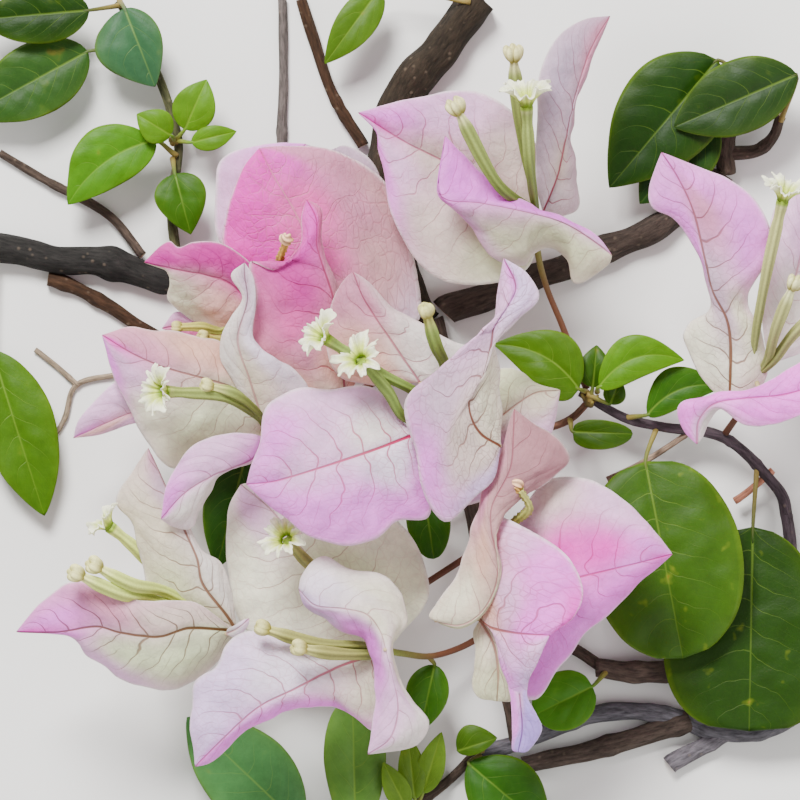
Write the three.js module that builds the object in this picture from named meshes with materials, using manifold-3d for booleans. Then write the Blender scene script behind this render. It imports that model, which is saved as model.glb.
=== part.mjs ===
// A cut flowering branch of a climbing shrub with papery bracts, lying on its back.
// Millimetres, +Z up. The flowers face +Z, and +Y is the way that the shoots grow.
// Every place below is measured from the middle of the spray, and FLOOR_CENTRE moves it to the frame.
import * as THREE from 'three';
import * as BufferGeometryUtils from 'three/addons/utils/BufferGeometryUtils.js';
import Module from 'manifold-3d';

const wasm = await Module();
wasm.setup();

// Driving dimensions
const FLOOR_CENTRE = [0.6, -2.6, 0.24];
const BRACT_THICKNESS = 0.8;
const LEAF_THICKNESS = 0.8;
const CLAW_RADIUS = 0.9;
const STALK_RADIUS = 0.75;
const PETIOLE_RADIUS = 0.55;
const FLOWER_TUBE_RADIUS = 1.05;
const STAR_RADIUS = 4.8;
const STAR_DEPTH = 2.4;
const BUD_RADIUS = 1.5;
const BUD_LENGTH = 5.2;
const WITHERED_RADIUS = 1.3;
const LEAF_ARCH = 1.2;

// Where a leaf is widest, as a part of its length, and how full the outlines of the two kinds of leaf are
const LEAF_WIDEST = 0.4;
const POINTED_FULLNESS = 1.6;
const BLUNT_FULLNESS = 0.9;

// A sheet leaves out the very ends of its guide lines, where it would have no width.
const SHEET_START = 0.03;
const SHEET_END = 0.975;
// A claw and a leaf stalk reach this far into their sheet, as a part of its length.
const CLAW_REACH = 0.05;
const PETIOLE_REACH = 0.08;

// Facets
const BRACT_ROWS = 6;
const LEAF_ROWS = 5;
const LIMB_SIDES = 6;
const STALK_SIDES = 5;
const SLIM_SIDES = 4;
const SLIM_STEPS = 2;
const STAR_SIDES = 7;
const HEAD_SIDES = 5;
const HEAD_RINGS = 4;
const WELD_DISTANCE = 1e-4;

const COLOURS = {
  blush: 0xe6b9dc,
  pink: 0xdd82c6,
  cream: 0xe0d8ca,
  leaf: 0x4f7f22,
  youngLeaf: 0x86a81f,
  greyBark: 0x6b5a57,
  brownBark: 0x5a4337,
};

// Each bract is a sheet between three lines from its base to its tip: the rib, and the margins on either
// side of it. The margins are listed without the two ends, which they share with the rib.
const BLOOMS = {
  bloom_top: {
    colour: 'blush',
    heart: [27.2, 37.6, 26],
    stalk: [[37.6, 2.2, 12.4], [35, 9, 12], [32.6, 15.2, 13], [29.6, 22.4, 16], [27.8, 29, 20]],
    bracts: [
      {
        rib: [[27.4, 38.2, 24], [17, 43.6, 24], [8.2, 48.2, 25], [1, 51.8, 26], [-8.4, 57.6, 29]],
        left: [[26, 27, 22], [17, 23.2, 22], [9, 24, 23], [2.8, 28.6, 24], [-2, 39, 25.6], [-4.2, 50, 27],
          [-4.4, 53.4, 27.6]],
        right: [[27.6, 50, 27], [23, 57.4, 29], [15.2, 61.8, 30], [4, 60.8, 29]],
      },
      {
        rib: [[28.6, 37.6, 24], [31.4, 44.4, 29], [33.8, 54, 35], [35.6, 62.4, 37], [38.6, 71, 37], [42, 76.8, 35]],
        left: [[27.2, 44, 33], [27.4, 56.4, 39], [27.8, 65, 41], [31.4, 72.4, 40], [36.8, 76, 37]],
        right: [[32.6, 36.8, 21], [35.6, 38.4, 20], [35.8, 41.4, 21], [34.2, 49.6, 28], [35.2, 58, 34], [38, 67, 36]],
      },
      {
        claw: [26.4, 36.6, 34],
        rows: 8,
        rib: [[42.4, 29, 32], [39.6, 31.2, 33], [33.2, 35.2, 35], [26.2, 37.4, 36], [16, 39.4, 36], [8.2, 40.8, 36],
          [9, 52.8, 35]],
        left: [[41.8, 27.2, 31], [35, 23.6, 28], [33.6, 28, 28], [30, 30.6, 29], [26.6, 29, 28], [25.4, 26.6, 27],
          [21.6, 27.6, 27], [16.4, 31, 29], [12.4, 37, 32], [7.6, 41, 35], [8, 46, 35]],
        right: [[39.6, 32.6, 33], [33.2, 36.4, 34], [26.4, 38.8, 34], [21, 41.6, 33], [15, 47, 33]],
      },
    ],
    flowers: [
      ['bud', [26.4, 38.4, 28], [19.6, 43, 38], [11.6, 57.6, 43]],
      ['star', [27, 38.6, 29], [25.8, 48, 42], [25.2, 60, 45]],
      ['bud', [27, 40, 27], [24, 56, 32], [23, 65.6, 36]],
    ],
  },
  bloom_pink: {
    colour: 'pink',
    heart: [-13.6, 15, 25],
    stalk: [[-0.04, 21.4, 6.14], [-8, 17.4, 14]],
    bracts: [
      {
        rib: [[-14, 24, 22], [-18, 36, 24], [-20, 46, 25], [-19, 51.4, 25]],
        left: [[-30, 26, 22], [-36.4, 32, 24], [-37, 43.4, 25], [-35.8, 48.2, 25], [-28, 51.4, 26]],
        right: [[-2, 30, 14], [-2.8, 40, 15], [-5.6, 47.6, 17], [-11, 51.2, 20], [-15, 50, 23]],
      },
      {
        rib: [[-13, 20, 27], [-17, 29, 30], [-19, 33.4, 31], [-21.4, 38.4, 32], [-25, 44.4, 33], [-28.2, 50.4, 33]],
        left: [[-24, 20, 26], [-31, 24, 28], [-35.6, 31.8, 30], [-33.6, 41, 32], [-31.2, 46.6, 33]],
        right: [[-6, 12, 23], [3, 15.4, 20], [4.2, 20.8, 18], [2.8, 28.4, 17], [0.4, 38, 19], [-4, 44.6, 22],
          [-14, 50, 28], [-22, 51, 31]],
      },
      {
        rib: [[-11, 0.5, 28], [-12, 13, 34], [-13.4, 21, 37], [-16.4, 30.4, 40], [-16.6, 36, 41], [-18.6, 40, 40]],
        left: [[-18, -1, 28], [-25.4, 2.4, 30], [-30, 12, 35], [-28.8, 21, 38], [-30, 27.6, 39], [-25, 26.2, 40],
          [-20.2, 30.6, 41], [-19.6, 37, 41]],
        right: [[-8.8, 4, 28], [-10.4, 16, 33], [-13, 24, 36], [-15.8, 32, 38], [-15.6, 38, 39]],
      },
    ],
    flowers: [['withered', [-23.6, 25, 34], [-24, 28, 38], [-22.6, 31.6, 42]]],
  },
  bloom_side: {
    colour: 'pink',
    heart: [-31, 18, 28],
    stalk: [[-31.61, 23.4, 5.35], [-31.4, 20.4, 16]],
    bracts: [
      {
        rib: [[-30.4, 20, 31], [-34, 23.2, 33], [-38, 24.8, 34], [-44.4, 26, 34], [-51.2, 27.6, 33]],
        left: [[-31.6, 15.6, 27], [-36.2, 13, 26], [-40, 14.6, 25], [-43.8, 17.4, 26], [-46.6, 20.8, 28],
          [-46, 25.4, 31]],
        right: [[-29.6, 26, 32], [-31.4, 28.8, 34], [-35.8, 31.4, 36], [-41, 31.4, 36], [-44.4, 30.6, 35],
          [-46.2, 31.8, 34]],
      },
      {
        rib: [[-32, 15, 26], [-38, 14, 24], [-43, 15, 24], [-47.8, 14.4, 23]],
        left: [[-36, 11.4, 23], [-42, 12.2, 23]],
        right: [[-36, 15.6, 25], [-42, 16.6, 24], [-45, 17.6, 24]],
      },
    ],
    flowers: [
      ['bud', [-34, 12.6, 27], [-36.4, 12, 31], [-38.6, 12.6, 33]],
      ['bud', [-36, 14, 27], [-40, 14.6, 29], [-43.6, 14.6, 29]],
    ],
  },
  bloom_centre: {
    colour: 'blush',
    heart: [9, -4.6, 36],
    stalk: [[10.39, -0.96, 6.16], [9.8, -2.6, 20]],
    bracts: [
      {
        rib: [[2.6, -7, 45], [-7.6, -10.8, 47], [-16.2, -13.6, 47], [-25, -16.2, 46], [-30.6, -16.8, 44]],
        left: [[5.4, -17, 42], [5.6, -23.4, 41], [-1, -24.4, 42], [-5.4, -27.8, 43], [-11, -29.2, 44],
          [-17, -27.4, 44], [-23, -23.4, 44], [-28, -19.2, 44]],
        right: [[-1, -2.4, 44], [-4.4, 1.6, 44], [-8, 3, 44], [-14.4, 1.8, 44], [-19.4, 2.6, 44], [-23.4, 1.2, 45],
          [-26.4, -1.2, 46], [-28, -8, 46], [-29.8, -14, 45]],
      },
      {
        rows: 9,
        rib: [[20, -9.2, 46], [16, -6.6, 49], [14, -3, 51], [13.8, 0.6, 52], [16, 3.6, 53], [18, 10.4, 53],
          [19, 16, 54], [23, 22, 55], [20.6, 28.2, 55]],
        left: [[18.6, -15.6, 47], [15, -19, 46], [9.2, -24.4, 45], [5.4, -20, 46], [3, -10, 48], [1.2, -3.4, 49],
          [1, -0.4, 50], [3.4, 3.2, 51], [8.4, 6.6, 52], [14.2, 10.4, 52], [17.6, 13.2, 53], [19.2, 20, 54]],
        right: [[20, -4, 44], [20.2, 2, 46], [19.6, 8, 49], [19.2, 12, 52], [23.6, 16.2, 54], [27.6, 20.6, 55],
          [25.4, 25, 55.5]],
      },
      {
        rib: [[4, 3.6, 38], [-1, 10.8, 39], [-7.2, 20.2, 40], [-9.4, 25.6, 41]],
        left: [[-4, 3, 36], [-12, 4.4, 35], [-14.6, 12, 36], [-13.6, 19, 38], [-11, 24, 40]],
        right: [[14, 5, 36], [14.6, 10.4, 36], [8.4, 12.4, 37], [3, 15.6, 38], [-2.8, 19.8, 39], [-7, 24, 40]],
      },
      {
        rib: [[17, -6, 36], [22, -2, 37], [27, 1.4, 37], [32, 2, 36]],
        left: [[17, 3, 35], [20, 6.2, 36], [24, 5.6, 37], [27, 3.4, 37]],
        right: [[9, -16, 34], [9.6, -20.6, 33], [18, -20, 33], [28, -13, 34], [30.4, -6.6, 35]],
      },
    ],
    flowers: [
      ['star', [0.8, -3.4, 46], [-2.4, 1.6, 50], [-8.6, 8.8, 54]],
      ['star', [3, 1.6, 46], [-4, 5.4, 50], [-15.9, 13, 54]],
      ['bud', [9, 6.6, 43], [7.2, 11, 48], [5.4, 17, 52]],
    ],
  },
  bloom_left: {
    colour: 'blush',
    heart: [-27.4, -5, 31],
    stalk: [[5.72, 9.55, 6.88], [-4, 4, 12], [-18, -2, 20]],
    bracts: [
      {
        rib: [[-27.6, -3.8, 32], [-32.8, 2, 35], [-39.6, 4.4, 37], [-46.2, 6.2, 37], [-53, 9, 36], [-59.6, 13, 34]],
        left: [[-27.4, -8, 30], [-36, -11, 28], [-45, -13.4, 27], [-50, -9.4, 28], [-54.4, -1.6, 30], [-57.6, 6, 32]],
        right: [[-29.6, 2.4, 33], [-32, 7, 34], [-35.8, 11.4, 35], [-39.6, 12.6, 35.4], [-46, 13.6, 35.4], [-54, 14.4, 34]],
      },
      {
        rib: [[-27.6, -7.4, 33], [-28.8, -11.2, 35], [-37.4, -15.2, 38], [-43, -18.6, 38], [-47.8, -23.8, 36]],
        left: [[-29, -12, 33], [-35, -14.4, 33], [-38.4, -18, 33], [-39.6, -22, 33], [-41.4, -25.4, 33],
          [-45.4, -25.4, 34]],
        right: [[-30, -6.8, 36], [-37.4, -7.2, 38], [-41.4, -9.4, 39], [-44.8, -13, 39], [-46.6, -17.4, 38]],
      },
      {
        rib: [[-27.6, -3.8, 34], [-30, 4, 37], [-32.4, 12, 40], [-30.4, 20, 42], [-31, 25, 43], [-31, 27.4, 43]],
        left: [[-32.8, 2.6, 36], [-36, 9, 38], [-35.8, 13, 40], [-33.6, 16.6, 41], [-31.4, 20.4, 42], [-33.6, 25, 43]],
        right: [[-18, 1, 33], [-22, 7, 36], [-29.2, 11.4, 39], [-28.8, 19, 42], [-29.4, 24.6, 43]],
      },
      {
        rib: [[-28.4, -4.8, 28], [-38, -1, 26], [-50, -1.4, 25], [-57.6, -4, 25], [-65.6, -7.6, 23]],
        left: [[-36, -6, 26], [-48, -4.6, 24], [-54, -4.8, 24], [-60, -6.8, 23]],
        right: [[-38, 4, 27], [-50, 4.4, 26], [-56, 4, 27], [-59.4, 1.6, 27], [-64.4, -4, 25]],
      },
    ],
    flowers: [
      ['star', [-28.4, -3.4, 35], [-35, 0.6, 42], [-48.2, 1.8, 46]],
      ['bud', [-28.4, -2.8, 36], [-33, 1.2, 42], [-37.6, 2.6, 44]],
    ],
  },
  bloom_low_left: {
    colour: 'blush',
    heart: [-32.4, -46.8, 25.6],
    stalk: [[16.25, -29.91, 6.12], [-4, -43, 9], [-20, -54, 12], [-31.6, -51.4, 18]],
    bracts: [
      {
        rows: 7,
        rib: [[-32.8, -46.4, 26], [-34.6, -43.4, 28], [-39.6, -36.6, 31], [-40.6, -31.8, 32], [-43.2, -25.8, 32],
          [-47, -17, 31], [-50.4, -9.6, 30]],
        left: [[-40, -46, 25], [-48.6, -41.4, 27], [-51.2, -36.2, 28], [-52.4, -29.6, 29], [-53.8, -24.6, 30],
          [-56.8, -20.6, 30], [-54.2, -15, 30]],
        right: [[-33.6, -39.4, 27], [-34.8, -33.6, 28], [-39.4, -30.6, 30], [-42.2, -25.4, 31], [-47.2, -17.4, 31]],
      },
      {
        rib: [[-32.8, -46.4, 28], [-36, -46, 31], [-42.8, -45.8, 34], [-48, -47.4, 35], [-56, -46.6, 36],
          [-60.2, -45.4, 36], [-68.4, -46.4, 35], [-76.8, -46.4, 33]],
        left: [[-35.6, -50.6, 26], [-39.4, -55.4, 26], [-43.6, -57.6, 26], [-49, -58, 27], [-54.6, -56.6, 28],
          [-62.4, -51, 31], [-66, -47.4, 33]],
        right: [[-37.6, -42.8, 32], [-41.6, -40.4, 34], [-51.8, -40.2, 36], [-58.8, -37.4, 37], [-62.4, -36.2, 37],
          [-67.4, -37.2, 36], [-71.8, -40.6, 35]],
      },
      {
        rows: 5,
        rib: [[-34.8, -46.8, 30.4], [-33, -46, 32], [-31.4, -44.9, 33], [-30.2, -43.7, 32.4]],
        left: [[-34.4, -45.8, 31.2], [-32.8, -45, 32.6], [-31.2, -44, 32.8]],
        right: [[-33.4, -47.4, 31], [-31.6, -46.4, 32], [-30.4, -44.9, 32.4]],
      },
    ],
    flowers: [
      ['star', [-50, -33, 25.6], [-54, -28.8, 29], [-59.2, -24.4, 32.4]],
      ['bud', [-49.6, -40, 31.6], [-56, -38.6, 38.4], [-63.8, -35, 43]],
      ['bud', [-47, -38.4, 31], [-54, -36.6, 38.6], [-60.2, -33.4, 42]],
    ],
  },
  bloom_low: {
    colour: 'cream',
    heart: [-2.2, -50.4, 26],
    stalk: [[19.58, -45.89, 5.33], [12, -50, 10], [6, -51.6, 15], [1, -51, 21]],
    bracts: [
      {
        rib: [[-2.4, -50, 22], [-9, -42, 22], [-18, -32, 22], [-26, -22, 22], [-32, -17, 21]],
        left: [[-10, -52, 21], [-22, -50, 20], [-30.6, -46.6, 19], [-33.4, -41.6, 19], [-34.8, -31, 20],
          [-34.6, -22, 20]],
        right: [[2.4, -44.6, 20], [5.8, -39.4, 20], [5.8, -36.4, 20], [3.4, -29.8, 20], [-1, -23.6, 20],
          [-10, -18, 20], [-24, -15.6, 20]],
      },
      {
        rib: [[-2.4, -50.6, 29], [-7, -51.6, 32], [-12.8, -53.6, 34], [-21, -57.8, 36], [-28.2, -61.4, 36],
          [-35.6, -68, 34], [-41, -73.4, 31]],
        left: [[-1.4, -58, 28], [-4.4, -66.4, 27], [-9.4, -62.8, 28], [-15, -61, 30], [-24.2, -62.8, 32],
          [-32.2, -67.4, 32], [-38, -72.6, 31]],
        right: [[-6.4, -50.4, 31], [-14, -49, 32], [-21.8, -48, 33], [-30.6, -46.4, 33], [-34.6, -49, 34],
          [-37.2, -53.6, 34], [-41, -56.6, 33], [-41.8, -62, 33]],
      },
      {
        claw: [-3, -49.8, 43],
        rows: 9,
        rib: [[-20.2, -37.8, 38], [-17, -41, 40], [-11, -41.7, 42], [-6.6, -42.8, 43], [-4, -46, 43], [-2.8, -50, 43],
          [-1.2, -56, 42], [-0.4, -62, 41], [-2, -67.6, 40], [-6.4, -70.8, 38]],
        left: [[-19, -41, 37], [-14.6, -44.2, 37], [-10.4, -47, 37], [-6.8, -48, 38], [-5.8, -52, 38], [-5, -58, 38],
          [-5.4, -64, 38]],
        right: [[-19.6, -35.2, 38], [-15.6, -31.4, 37], [-10, -33.6, 37], [-3, -35.4, 36], [0.8, -38.8, 36],
          [1, -43.6, 37], [-1.2, -49, 40], [0.4, -57, 38], [5.8, -64.4, 37], [2.8, -69, 37]],
      },
    ],
    flowers: [
      ['star', [-15, -36, 26], [-19.6, -31.4, 32.6], [-23.4, -27.2, 37]],
      ['bud', [-6.6, -51, 34], [-14, -50.6, 39], [-19.4, -49.6, 42]],
      ['bud', [-7.4, -49.4, 33], [-17, -48.6, 37], [-26.6, -45.8, 39]],
    ],
  },
  bloom_right: {
    colour: 'pink',
    heart: [16, -43.6, 36],
    stalk: [[20.39, -43.74, 5.19], [18.6, -43.6, 20]],
    bracts: [
      {
        rows: 9,
        rib: [[7, -44, 41], [11.8, -45, 42], [15.6, -43.2, 43], [18.6, -38.6, 44.6], [19.6, -33, 46], [18.2, -26, 46],
          [18.2, -21.6, 46], [22, -13.6, 45], [22.6, -7, 44], [22.8, -1.8, 43]],
        left: [[5.8, -43.2, 41], [10.2, -36.6, 41], [13, -30, 42], [14.8, -23.8, 43], [16.4, -18.6, 43], [20, -11, 43],
          [21.6, -5, 43]],
        right: [[8.4, -44.8, 40.6], [12, -45.6, 41.4], [16.2, -43.2, 42.4], [19.3, -38.6, 44], [20.3, -33, 45.4],
          [19, -26, 45.4], [20.4, -22.4, 43], [26.6, -18.2, 41], [30.4, -15.2, 40], [34.2, -12, 39], [30.4, -7, 40],
          [26.2, -4.4, 42]],
      },
      {
        rib: [[15.6, -43.4, 39], [17.6, -45.2, 42], [22.8, -46.4, 46], [29.8, -46.8, 49]],
        left: [[19.8, -46.6, 42], [19.6, -50, 42], [21.2, -55, 42], [22.2, -58.4, 42], [23.8, -59, 42.6],
          [25, -58.6, 43.4], [26.4, -54, 46], [28.2, -50, 48]],
        right: [[17.6, -36, 36], [17.4, -26, 38], [18.4, -23, 41], [25.2, -25.6, 45], [33.6, -31.4, 49],
          [36.4, -38.4, 50], [34.6, -43, 50]],
      },
      {
        rib: [[16, -44, 37], [18.6, -48.6, 38], [19.6, -54, 38], [19.4, -60.2, 37]],
        left: [[22, -46, 37], [23, -53, 38], [22.6, -59.8, 37]],
        right: [[14.6, -46.4, 37], [15.2, -50, 37], [14, -56.6, 36], [15.8, -59.2, 36]],
      },
      {
        rib: [[17, -43.4, 35], [26, -38, 38], [36.6, -35.2, 40], [45, -33.2, 40], [54.4, -30.8, 38]],
        left: [[18, -54, 32], [26.8, -60, 32], [32.4, -52.2, 34], [41.8, -42.4, 36], [51.2, -33.6, 37]],
        right: [[18, -32, 33], [24.4, -22, 33], [29.4, -16.4, 34], [37, -15.6, 35], [45, -20, 37], [51.2, -26.8, 38]],
      },
      {
        claw: [17, -45, 37],
        rows: 7,
        rib: [[23.6, -54.4, 43.2], [23.8, -58, 42.2], [24.2, -62, 41.8], [24.4, -66, 41.4], [23.6, -70.2, 41]],
        left: [[25.2, -56, 43.2], [25.4, -59.4, 42.6], [27.3, -63, 42.6], [28.3, -65.4, 42], [26.9, -68.4, 41.4],
          [25.2, -70.2, 41]],
        right: [[22.2, -56, 42], [22.5, -59.4, 41.8], [22.6, -63, 41.6], [22.6, -66.6, 41.2], [22.5, -69.9, 41]],
      },
    ],
    flowers: [['withered', [22, -25.4, 39], [25.8, -21.6, 42.8], [24, -18, 44.8]]],
  },
  bloom_edge: {
    colour: 'blush',
    heart: [71, 4.6, 32],
    stalk: [[65.75, -6.56, 9.01], [68.6, -2, 18]],
    bracts: [
      {
        rows: 9,
        rib: [[66, 0.6, 33], [66, 12, 37], [65.2, 16.2, 39], [62.3, 21.6, 41], [60.7, 28.4, 42], [58.4, 38, 43],
          [55.4, 44.4, 43], [52.2, 49.4, 42]],
        left: [[63, 1.6, 31], [58.6, 7.6, 32], [56.6, 12.4, 33], [57.8, 14.8, 34], [61.2, 17.6, 36], [62, 20.4, 38],
          [60.4, 26.6, 40], [56.8, 33.8, 41], [54.2, 36.4, 42], [50.4, 38.6, 42], [49.8, 42.6, 42]],
        right: [[70, -0.2, 32], [73, 4, 33], [73.4, 9, 34], [72, 14, 36], [69.8, 18.2, 38], [70.2, 22.2, 40],
          [73.2, 28.8, 43], [73.8, 33.6, 44], [70.4, 40.4, 45], [65.6, 43.8, 44]],
      },
      {
        claw: [72, 1.6, 37],
        rows: 8,
        rib: [[59.4, -8.8, 34], [59.8, -4, 36], [62.8, -0.8, 37], [68.8, 0.4, 38], [76.2, 1, 39], [83, 3, 39],
          [89, 6.4, 38]],
        left: [[60.4, -7.6, 34], [62, -3.8, 34], [64.2, -1.6, 36], [67.6, -4.4, 37], [72.6, -5.3, 38], [80, -3, 39],
          [86.4, 1.4, 39]],
        right: [[57, -6.4, 34], [55.6, -3, 35], [56, -0.8, 36], [61.6, 1, 36], [68.8, 1.8, 37], [76.2, 5, 38],
          [83, 9, 38], [87.6, 9.4, 38]],
      },
      {
        rib: [[74, 7, 29], [78, 20, 29], [81, 33, 29], [81.4, 44, 28]],
        left: [[72.4, 18, 29], [73.4, 30, 29], [75.2, 38.6, 29], [78.6, 41.8, 28.5]],
        right: [[82, 11, 28], [88, 22, 28], [88.4, 34, 28], [85, 41, 28]],
      },
    ],
    flowers: [
      ['star', [70.6, 9, 35], [73, 25, 43], [76.6, 41.2, 46]],
      ['bud', [73.4, 8, 36], [75, 14, 43], [78.2, 22.4, 48]],
      ['bud', [74.4, 7.6, 36], [79, 13.6, 42], [85, 18.6, 46]],
    ],
  },
};

// A leaf runs from its base to its tip. left and right are its half widths, and bow is how far its rib
// swings to the left. arch lifts the middle. stalk is where its stalk meets the twig.
const LEAVES = {
  leaf_node_left: [{ base: [36, 2.2, 17.4], tip: [18.6, 11.2, 16], left: 6.2, right: 6.2, bow: -2.6, widest: 0.32,
    stalk: [37.2, 1.8, 13.8] }],
  leaf_node_right: [{ base: [40, 2.6, 17.4], tip: [57.2, 8, 17], left: 4.8, right: 4.2, bow: 3.4, widest: 0.42,
    stalk: [39.8, 1.9, 13.8] }],
  leaves_node_young: [
    { base: [38.8, 2.6, 14.4], tip: [39.6, 11, 15], rows: 4, left: 3.4, right: 3.4, stalk: [38.5, 0.9, 13.4] },
    { base: [42.4, -0.8, 13.6], tip: [44.2, 4.2, 14.4], rows: 4, left: 2.2, right: 2.4, stalk: [38.8, 0.7, 13.5] },
  ],
  leaf_stem: [{ base: [49.8, -3, 14], tip: [65.4, 2.6, 14], left: 4.8, right: 3.4, bow: 2.6, stalk: [46.8, -3.4, 11.7] }],
  leaf_node_low: [{ base: [34.8, -6.4, 15], tip: [46.8, -6.8, 15], left: 2.6, right: 3.4, blunt: 1,
    stalk: [34.4, -4.6, 12.2] }],
  leaf_big_left: [{ base: [49.4, -12.4, 14], tip: [57, -52, 14.4], left: 15.8, right: 15.2, widest: 0.5, blunt: 1,
    arch: 2, stalk: [51.5, -6.27, 10.23] }],
  leaf_big_right: [{ base: [71.2, -25.6, 8.6], tip: [70.4, -66.8, 9.6], left: 17, right: 17.6, widest: 0.6, blunt: 1,
    arch: 0.6, stalk: [70.7, -14.9, 6.2] }],
  leaf_low: [{ base: [38.8, -57.8, 8.6], tip: [27.4, -63.4, 9], left: 6, right: 6, widest: 0.5, blunt: 1,
    stalk: [41.02, -55.55, 4.93] }],
  leaf_shoot_upper: [{ base: [11.6, -70.8, 7], tip: [19.6, -68.2, 8], left: 4.4, right: 1.8, stalk: [16.09, -70.89, 3.46] }],
  leaf_shoot_right: [{ base: [13.8, -73.4, 6], tip: [30, -87, 6], left: 7.6, right: 7, widest: 0.45,
    stalk: [15.74, -72.11, 3.18] }],
  leaf_under_low: [{ base: [7, -53.4, 12], tip: [4, -67, 11], left: 4, right: 4.6, stalk: [6.2, -52.2, 13.4] }],
  leaf_under_centre: [{ base: [5, -19.6, 12], tip: [6.8, -32, 12], left: 4.4, right: 4.4, blunt: 1,
    stalk: [13.61, -19.17, 5.62] }],
  leaf_under_left: [{ base: [-31, -11, 15], tip: [-37, -34, 12], left: 6, right: 6, stalk: [-20.05, -3.27, 20.77] }],
  leaf_bottom: [{ base: [-9, -86, 5.4], tip: [-9.6, -60.6, 8], left: 6, right: 6.4, widest: 0.55, blunt: 1,
    stalk: [-9, -87.4, 2.79] }],
  leaf_bottom_left: [{ base: [-20, -86, 5.4], tip: [-43, -64, 8], left: 9, right: 9, widest: 0.45,
    stalk: [-18.6, -87.56, 2.69] }],
  leaves_bottom_young: [
    { base: [3, -80.6, 5], tip: [1.6, -67.4, 7], rows: 4, left: 2.8, right: 2.8, stalk: [3.41, -81.99, 3.02] },
    { base: [4.6, -79.4, 5], tip: [8.4, -67, 7.4], rows: 4, left: 2.8, right: 2.8, stalk: [3.41, -81.99, 3.02] },
    { base: [1.4, -82.6, 6], tip: [-3.4, -73, 10.6], rows: 4, left: 2.6, right: 2.6, stalk: [3.41, -81.99, 3.02] },
  ],
  leaf_high_left: [{ base: [-49.4, 52.4, 9], tip: [-67, 39.4, 9], left: 5.6, right: 7, bow: -2.4, widest: 0.42,
    stalk: [-46, 50, 6.2] }],
  leaf_high_low: [{ base: [-45.4, 45.6, 9], tip: [-42.2, 33.4, 9], left: 5.2, right: 5.2, widest: 0.35,
    stalk: [-45.8, 48, 6.2] }],
  leaves_high_young: [
    { base: [-46.2, 53.4, 10.4], tip: [-53, 57.6, 11.4], rows: 4, left: 3.6, right: 3.6, stalk: [-45.4, 52.4, 6.4] },
    { base: [-43.4, 54.6, 9], tip: [-39, 64.6, 10], rows: 4, left: 4.4, right: 4.4, stalk: [-45.4, 52.4, 6.4] },
    { base: [-42, 52, 9], tip: [-33, 54.2, 9], rows: 4, left: 2.4, right: 2.6, stalk: [-45.4, 52.4, 6.4] },
  ],
  leaf_top_fold: [{ base: [-55.6, 79, 9], tip: [-49.4, 63.2, 9], left: 5, right: 8.6, widest: 0.4,
    stalk: [-56.39, 80.2, 5.87] }],
  leaf_top_left: [{ base: [-63, 70.4, 7], tip: [-88, 56.8, 7], left: 7.4, right: 7.4, stalk: [-52, 70.6, 6.2] }],
  leaf_top_corner: [{ base: [-62.6, 78.6, 10.6], tip: [-86, 76.6, 10], left: 6, right: 5.4, stalk: [-56.95, 79.62, 6.02] }],
  leaf_edge_left: [{ base: [-82.4, 10, 5], tip: [-71.8, -23.4, 5], left: 8, right: 7, widest: 0.45,
    stalk: [-82, 28, 4.6] }],
  leaf_top_centre: [{ base: [-4, 83, 9], tip: [-15.2, 67.8, 9], left: 4.2, right: 3.8, stalk: [12.93, 80.5, 7.94] }],
  leaf_back_wide: [{ base: [64, 68.6, 10], tip: [42.2, 42.8, 10], left: 9.6, right: 11, stalk: [70.6, 63.6, 9.4] }],
  leaf_back_low: [{ base: [63, 57.4, 7.6], tip: [48.4, 39.6, 7], left: 7, right: 7, stalk: [65.4, 55.6, 7.6] }],
  leaf_back_right: [{ base: [80, 65.6, 13], tip: [55.2, 55, 13], left: 7, right: 8, widest: 0.45,
    stalk: [77.21, 57.34, 7.74] }],
};

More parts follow.
